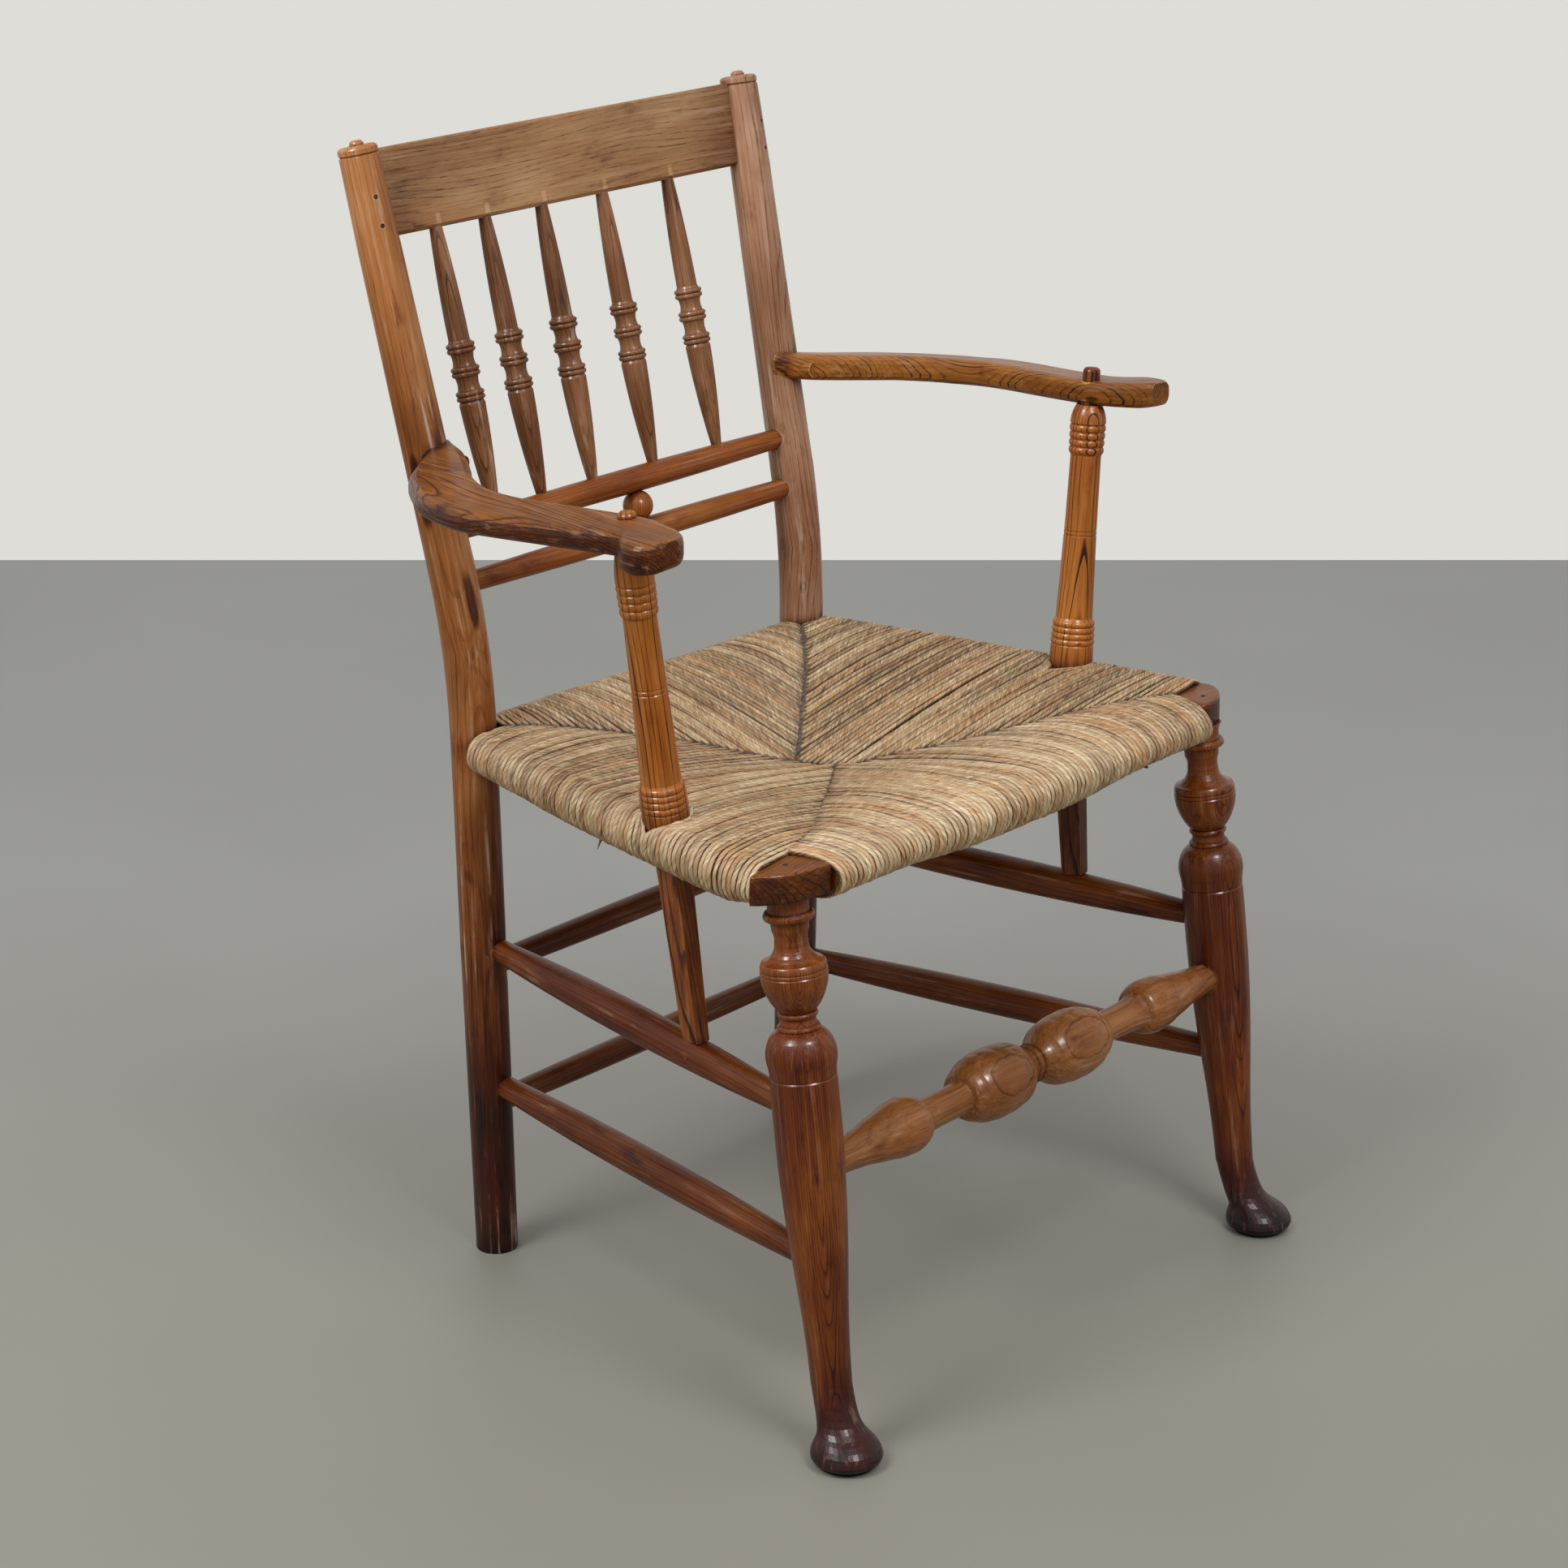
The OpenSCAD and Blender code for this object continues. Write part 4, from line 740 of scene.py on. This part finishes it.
def wrap_tube(points, size_at, turn_at, spot_at, tone, start):
    """A strip bent round a line in its own plane and closed to a tube, with its ends drawn to a point.
    turn_at turns its section on along the line, size_at gives the radius there, and spot_at the place
    of a point. Two colour layers tell the finish the strand's tone and painted shade, and where on it a
    point lies."""
    strip = bmesh.new()
    rows = len(points) - 1
    bmesh.ops.create_grid(strip, x_segments=rows, y_segments=STRAND_SIDES, size=0.5)
    leaf = strip.verts.layers.float_color.new("leaf")
    lie = strip.verts.layers.float_color.new("lie")
    runs = [0.0]
    for p, q in zip(points, points[1:]):
        runs.append(runs[-1] + math.dist(p, q))
    for vert in strip.verts:
        i = round((vert.co.x + 0.5) * rows)
        angle = 2 * math.pi * (vert.co.y + 0.5)
        step = Vector(points[min(rows, i + 1)]) - Vector(points[max(0, i - 1)])
        step.normalize()
        run = runs[i]
        turned = turn_at(run, angle)
        thick = 0.02 if i in (0, rows) else size_at(run, turned)
        vert.co = spot_at(points[i], step, angle, thick, run)
        # Painted shade: it goes dark at its ends, down in the seam, and on its sides, between the strands
        shown = 0.3 + 0.7 * min(1.0, max(0.0, min(run, runs[-1] - run) - 4) / 9)
        vert[leaf] = (tone[0], tone[1], (0.5 + 0.5 * math.cos(angle)) * shown, 1)
        vert[lie] = ((run + start) * 0.01, 0.5 + 0.5 * math.cos(angle), 0.5 + 0.5 * math.sin(angle), 1)
    bmesh.ops.remove_doubles(strip, verts=strip.verts, dist=0.03)
    bmesh.ops.recalc_face_normals(strip, faces=strip.faces)
    bmesh.ops.scale(strip, vec=(MM, MM, MM), verts=strip.verts)
    for face in strip.faces:
        face.smooth = True
    return strip


def join_strip(whole, strip):
    """Adds a finished strip to the panel it belongs to."""
    mesh = bpy.data.meshes.new("strip")
    strip.to_mesh(mesh)
    strip.free()
    whole.from_mesh(mesh)
    bpy.data.meshes.remove(mesh)


def lay_strand(whole, panel, at, rng):
    """One twisted strand over its rail."""
    points, edge = strand_path(panel, at, rng)
    tone = (rng.random(), rng.random() ** 2)
    twist = rng.uniform(0.07, 0.13)
    size = STRAND * rng.uniform(0.92, 1.1)
    shifts = [rng.uniform(-1, 1) for _ in range(7)]
    start = rng.uniform(0, 500)

    def size_at(run, turned):
        return size * (1 + 0.07 * math.cos(3 * turned) + 0.05 * math.sin(run * 0.13 + start))

    def turn_at(run, angle):
        return angle - twist * run + start

    def spot_at(point, step, angle, thick, run):
        inward = point[0] + step.y * thick * math.cos(angle)
        height = point[1] - step.x * thick * math.cos(angle)
        # The strand wanders a little along its rail, another way after every 60 mm
        spell = run / 60
        k = min(5, int(spell))
        drift = shifts[k] + (shifts[k + 1] - shifts[k]) * (spell - k)
        return place_in(panel, edge, inward, at + 0.55 * drift, thick * math.sin(angle), height)

    join_strip(whole, wrap_tube(points, size_at, turn_at, spot_at, tone, start))


def lay_loose_end(whole, points, rng):
    """A short end of rush that sticks out, as a thin bent strip."""
    start = rng.uniform(0, 500)
    lines = [Vector(p) for p in points]
    flat = [(p.x, p.z) for p in lines]

    def spot_at(point, step, angle, thick, run):
        k = min(range(len(flat)), key=lambda i: math.dist(flat[i], point))
        side = Vector((-step.y, 0, step.x)) * math.cos(angle) + Vector((0, 1, 0)) * math.sin(angle)
        return lines[k] + side * thick

    def size_at(run, turned):
        return 1.1

    def turn_at(run, angle):
        return angle

    join_strip(whole, wrap_tube(flat, size_at, turn_at, spot_at, (0.6, 0.2), start))


def weave_panel(panel, material):
    """All the strands over one rail."""
    low, high = RUNS[panel]
    rng = random.Random(len(panel) * 7 + 1)
    count = round((high - low) / PITCH)
    whole = bmesh.new()
    for k in range(count):
        at = low + (high - low) * (k + 0.5) / count + rng.uniform(-0.25, 0.25)
        lay_strand(whole, panel, at, rng)
    for points in LOOSE_ENDS.get(panel, ()):
        lay_loose_end(whole, points, rng)
    put_piece(f"rush_{panel}", whole, material, "rush")


def rush_finish():
    finish = Finish(bpy.data.materials.new("dry_rush"))
    leaf = finish.node("Attribute", {"attribute_name": "leaf"})
    lie = finish.node("Attribute", {"attribute_name": "lie"})
    place = finish.place()
    tone, warm, outward = finish.split(leaf)
    run, cos, sin = finish.split(lie)
    # The leaves wind round the strand, a turn in every 20 to 35 mm
    wound = (sin * 2 - 1).math("ARCTAN2", cos * 2 - 1) - run * (tone * 13.0 + 18.0)
    cos, sin = wound.math("COSINE"), wound.math("SINE")
    leaves = finish.speckle(finish.join(run * 3.6, cos * 1.5 + tone * 40, sin * 1.5), 1.0, 2.0, 0.6)
    fibres = finish.speckle(finish.join(run * 5.0, cos * 4.0 + tone * 60, sin * 4.0), 1.0, 2.0, 0.55)
    fade = finish.speckle(finish.join(run * 1.6, tone * 50, 0.0), 1.0, 1.0)
    soil = finish.speckle(place, 14.0, 3.0, 0.55)
    x, y = finish.split(place)[:2]
    depth = 0.5 + (leaves - 0.5) * 1.15 + (fibres - 0.5) * 0.5 + (tone - 0.5) * 0.24
    # Painted shade: the strands go darker on their sides, between each other, and at their ends in the
    # seams
    depth = depth + (fade - 0.5) * 0.3 + (soil - 0.5) * 0.4 - outward.fade(0.6, 0.9, 0.6, 0)
    # Painted light and shade: the front edge paler and the right side darker, as the light falls on the
    # seat
    depth = depth + y.fade(-0.19, -0.1, 0.12, 0) - x.fade(0.0, 0.2, 0, 0.1)
    stops = [
        (0.0, srgb(70, 50, 32)),
        (0.25, srgb(124, 98, 68)),
        (0.5, srgb(170, 142, 106)),
        (0.72, srgb(196, 172, 136)),
        (1.0, srgb(232, 216, 188)),
    ]
    straw = finish.node("ValToRGB", {"stops": stops}, {"Fac": depth})
    brown = finish.tint(1.0, straw, srgb(238, 198, 152) + (1,), "MULTIPLY")
    ruddy = finish.speckle(finish.join(run * 2.2 + 9, tone * 30, 3.0), 1.0, 1.0) + warm * 0.3
    colour = finish.tint(ruddy.fade(0.52, 0.8) * 0.6, straw, brown)
    # Thin pale streaks: pale leaves, partly a painted highlight
    pale = fibres.fade(0.6, 0.72) * leaves.fade(0.45, 0.6)
    colour = finish.tint(pale * 0.6, colour, srgb(238, 226, 204) + (1,))
    height = leaves * 0.6 + fibres * 0.4
    normal = finish.node("Bump", {}, {"Height": height, "Strength": 0.7, "Distance": MM})
    return finish.close(
        Base_Color=colour, Roughness=0.68 - fibres * 0.3, Normal=normal, Specular_IOR_Level=0.4
    )


def drawn_in(place):
    """How far the stuffing lies in from the seat's skin: least over the rails, whose room it keeps."""
    from_edge = min(BACK_EDGE - place.y, place.y - FRONT_EDGE, side_edge(place.y) - abs(place.x))
    # Such points are the walls of the rooms for the rails
    if 5.5 < from_edge < 30 and abs(place.z - RAIL_H) < 11.3:
        return 0.0
    return 5.6 + 4.0 * min(1.0, max(0.0, from_edge - 30) / 40)


def stuff_seat(material):
    """The loose rush packed between the strands, as the woven seat's shape drawn in."""
    stuffing = bmesh.new()
    stuffing.from_mesh(nodes["rush_seat"].data)
    bmesh.ops.remove_doubles(stuffing, verts=stuffing.verts, dist=1e-5)
    stuffing.normal_update()
    for vert in stuffing.verts:
        vert.co -= vert.normal * drawn_in(vert.co / MM) * MM
    piece = put_piece("rush_stuffing", stuffing, material, "rush", "rush_seat")


def stuffing_finish():
    finish = Finish(bpy.data.materials.new("rush_chaff_in_painted_shade"))
    chaff = finish.speckle(finish.place(), 400.0, 3.0)
    # Darker than the strands: the rush's colour painted as it looks in shade between them
    stops = [(0.3, srgb(72, 52, 32)), (0.7, srgb(122, 94, 61))]
    colour = finish.node("ValToRGB", {"stops": stops}, {"Fac": chaff})
    return finish.close(Base_Color=colour, Roughness=chaff * 0.2 + 0.7)


def weave_seat():
    straw = rush_finish()
    stuff_seat(stuffing_finish())
    for panel in RUNS:
        weave_panel(panel, straw)


# The room

# How far the floor reaches from below the camera, its width and its depth
FLOOR_END = 4.79
FLOOR_WIDTH = 14
FLOOR_DEPTH = 10
# The windows' lamps: name, turn from the camera's side and rise in degrees, size and watts
WINDOWS = (("left", 50, 46, (1.1, 1.6), 48), ("right", -34, 48, (1.0, 1.4), 36))
# How far they hang from the chair's middle
WINDOW_AWAY = 3.0


def lay_floor():
    floor = bmesh.new()
    bmesh.ops.create_grid(floor, x_segments=1, y_segments=1, size=0.5)
    bmesh.ops.scale(floor, vec=(FLOOR_WIDTH, FLOOR_DEPTH, 1), verts=floor.verts)
    bmesh.ops.translate(floor, vec=(0, FLOOR_END - FLOOR_DEPTH / 2, 0), verts=floor.verts)
    turned = Matrix.Rotation(CAMERA_TURN, 3, "Z")
    bmesh.ops.rotate(floor, cent=(0, 0, 0), matrix=turned, verts=floor.verts)
    bmesh.ops.translate(floor, vec=(CAMERA_SPOT[0], CAMERA_SPOT[1], 0), verts=floor.verts)
    mesh = bpy.data.meshes.new("floor")
    floor.to_mesh(mesh)
    floor.free()
    finish = Finish(bpy.data.materials.new("floor_grey"))
    place = finish.place()
    cloud = finish.speckle(place, 1.3, 3.0)
    near = [(0.3, srgb(132, 129, 119)), (0.7, srgb(138, 135, 126))]
    far = [(0.3, srgb(149, 149, 146)), (0.7, srgb(155, 155, 152))]
    x, y = finish.split(place)[:2]
    away = x * -math.sin(CAMERA_TURN) + y * math.cos(CAMERA_TURN)
    # Painted light: the floor goes paler and greyer away from the camera, darker and warmer near it
    colour = finish.tint(
        away.fade(-0.4, 0.9),
        finish.node("ValToRGB", {"stops": near}, {"Fac": cloud}),
        finish.node("ValToRGB", {"stops": far}, {"Fac": cloud}),
    )
    mesh.materials.append(finish.close(Base_Color=colour, Roughness=0.55))
    piece = bpy.data.objects.new("floor", mesh)
    bpy.context.scene.collection.objects.link(piece)


def light_room():
    """A pale room, which lights the chair less than it looks."""
    world = bpy.data.worlds.new("room")
    bpy.context.scene.world = world
    room = Finish(world)
    seen = room.node("Background", {}, {"Color": srgb(222, 221, 216) + (1,)})
    soft = room.node("Background", {}, {"Color": (1.0, 0.99, 0.97, 1), "Strength": 0.55})
    shown = room.node("LightPath", out="Is Camera Ray")
    for ray in ("Is Glossy Ray", "Is Transmission Ray"):
        shown = shown.math("MAXIMUM", room.node("LightPath", out=ray))
    room.node("OutputWorld", {}, {0: room.node("MixShader", {}, {0: shown, 1: soft, 2: seen})})
    # Each window is a wide lamp that gloss doesn't show, and a small bright one for gloss alone
    for name, turn, rise, size, watts in WINDOWS:
        glow = hang_lamp(f"window_{name}", turn, rise, size, watts)
        glow.visible_glossy = False
        small = (size[0] * 0.5, size[1] * 0.5)
        glint = hang_lamp(f"window_{name}_glint", turn, rise, small, watts * 2.4)
        glint.visible_diffuse = False


def hang_lamp(name, turn, rise, size, watts):
    """A soft lamp, turned from the camera's side and looking at the chair's middle."""
    middle = Vector((0, 0, 0.45))
    heading = CAMERA_TURN - math.radians(turn)
    rise = math.radians(rise)
    spot = Vector((-math.sin(heading), math.cos(heading), 0)) * -math.cos(rise)
    spot = middle + (spot + Vector((0, 0, math.sin(rise)))) * WINDOW_AWAY
    lamp = bpy.data.lights.new(name, "AREA")
    lamp.shape = "RECTANGLE"
    lamp.size, lamp.size_y = size
    lamp.energy = watts
    piece = bpy.data.objects.new(name, lamp)
    piece.location = spot
    piece.rotation_euler = (middle - spot).to_track_quat("-Z", "Y").to_euler()
    bpy.context.scene.collection.objects.link(piece)
    return piece


place_camera()
lay_floor()
light_room()
finish_back()
finish_arms()
finish_blocks()
finish_frame()
weave_seat()
bpy.context.scene.view_settings.view_transform = "Standard"
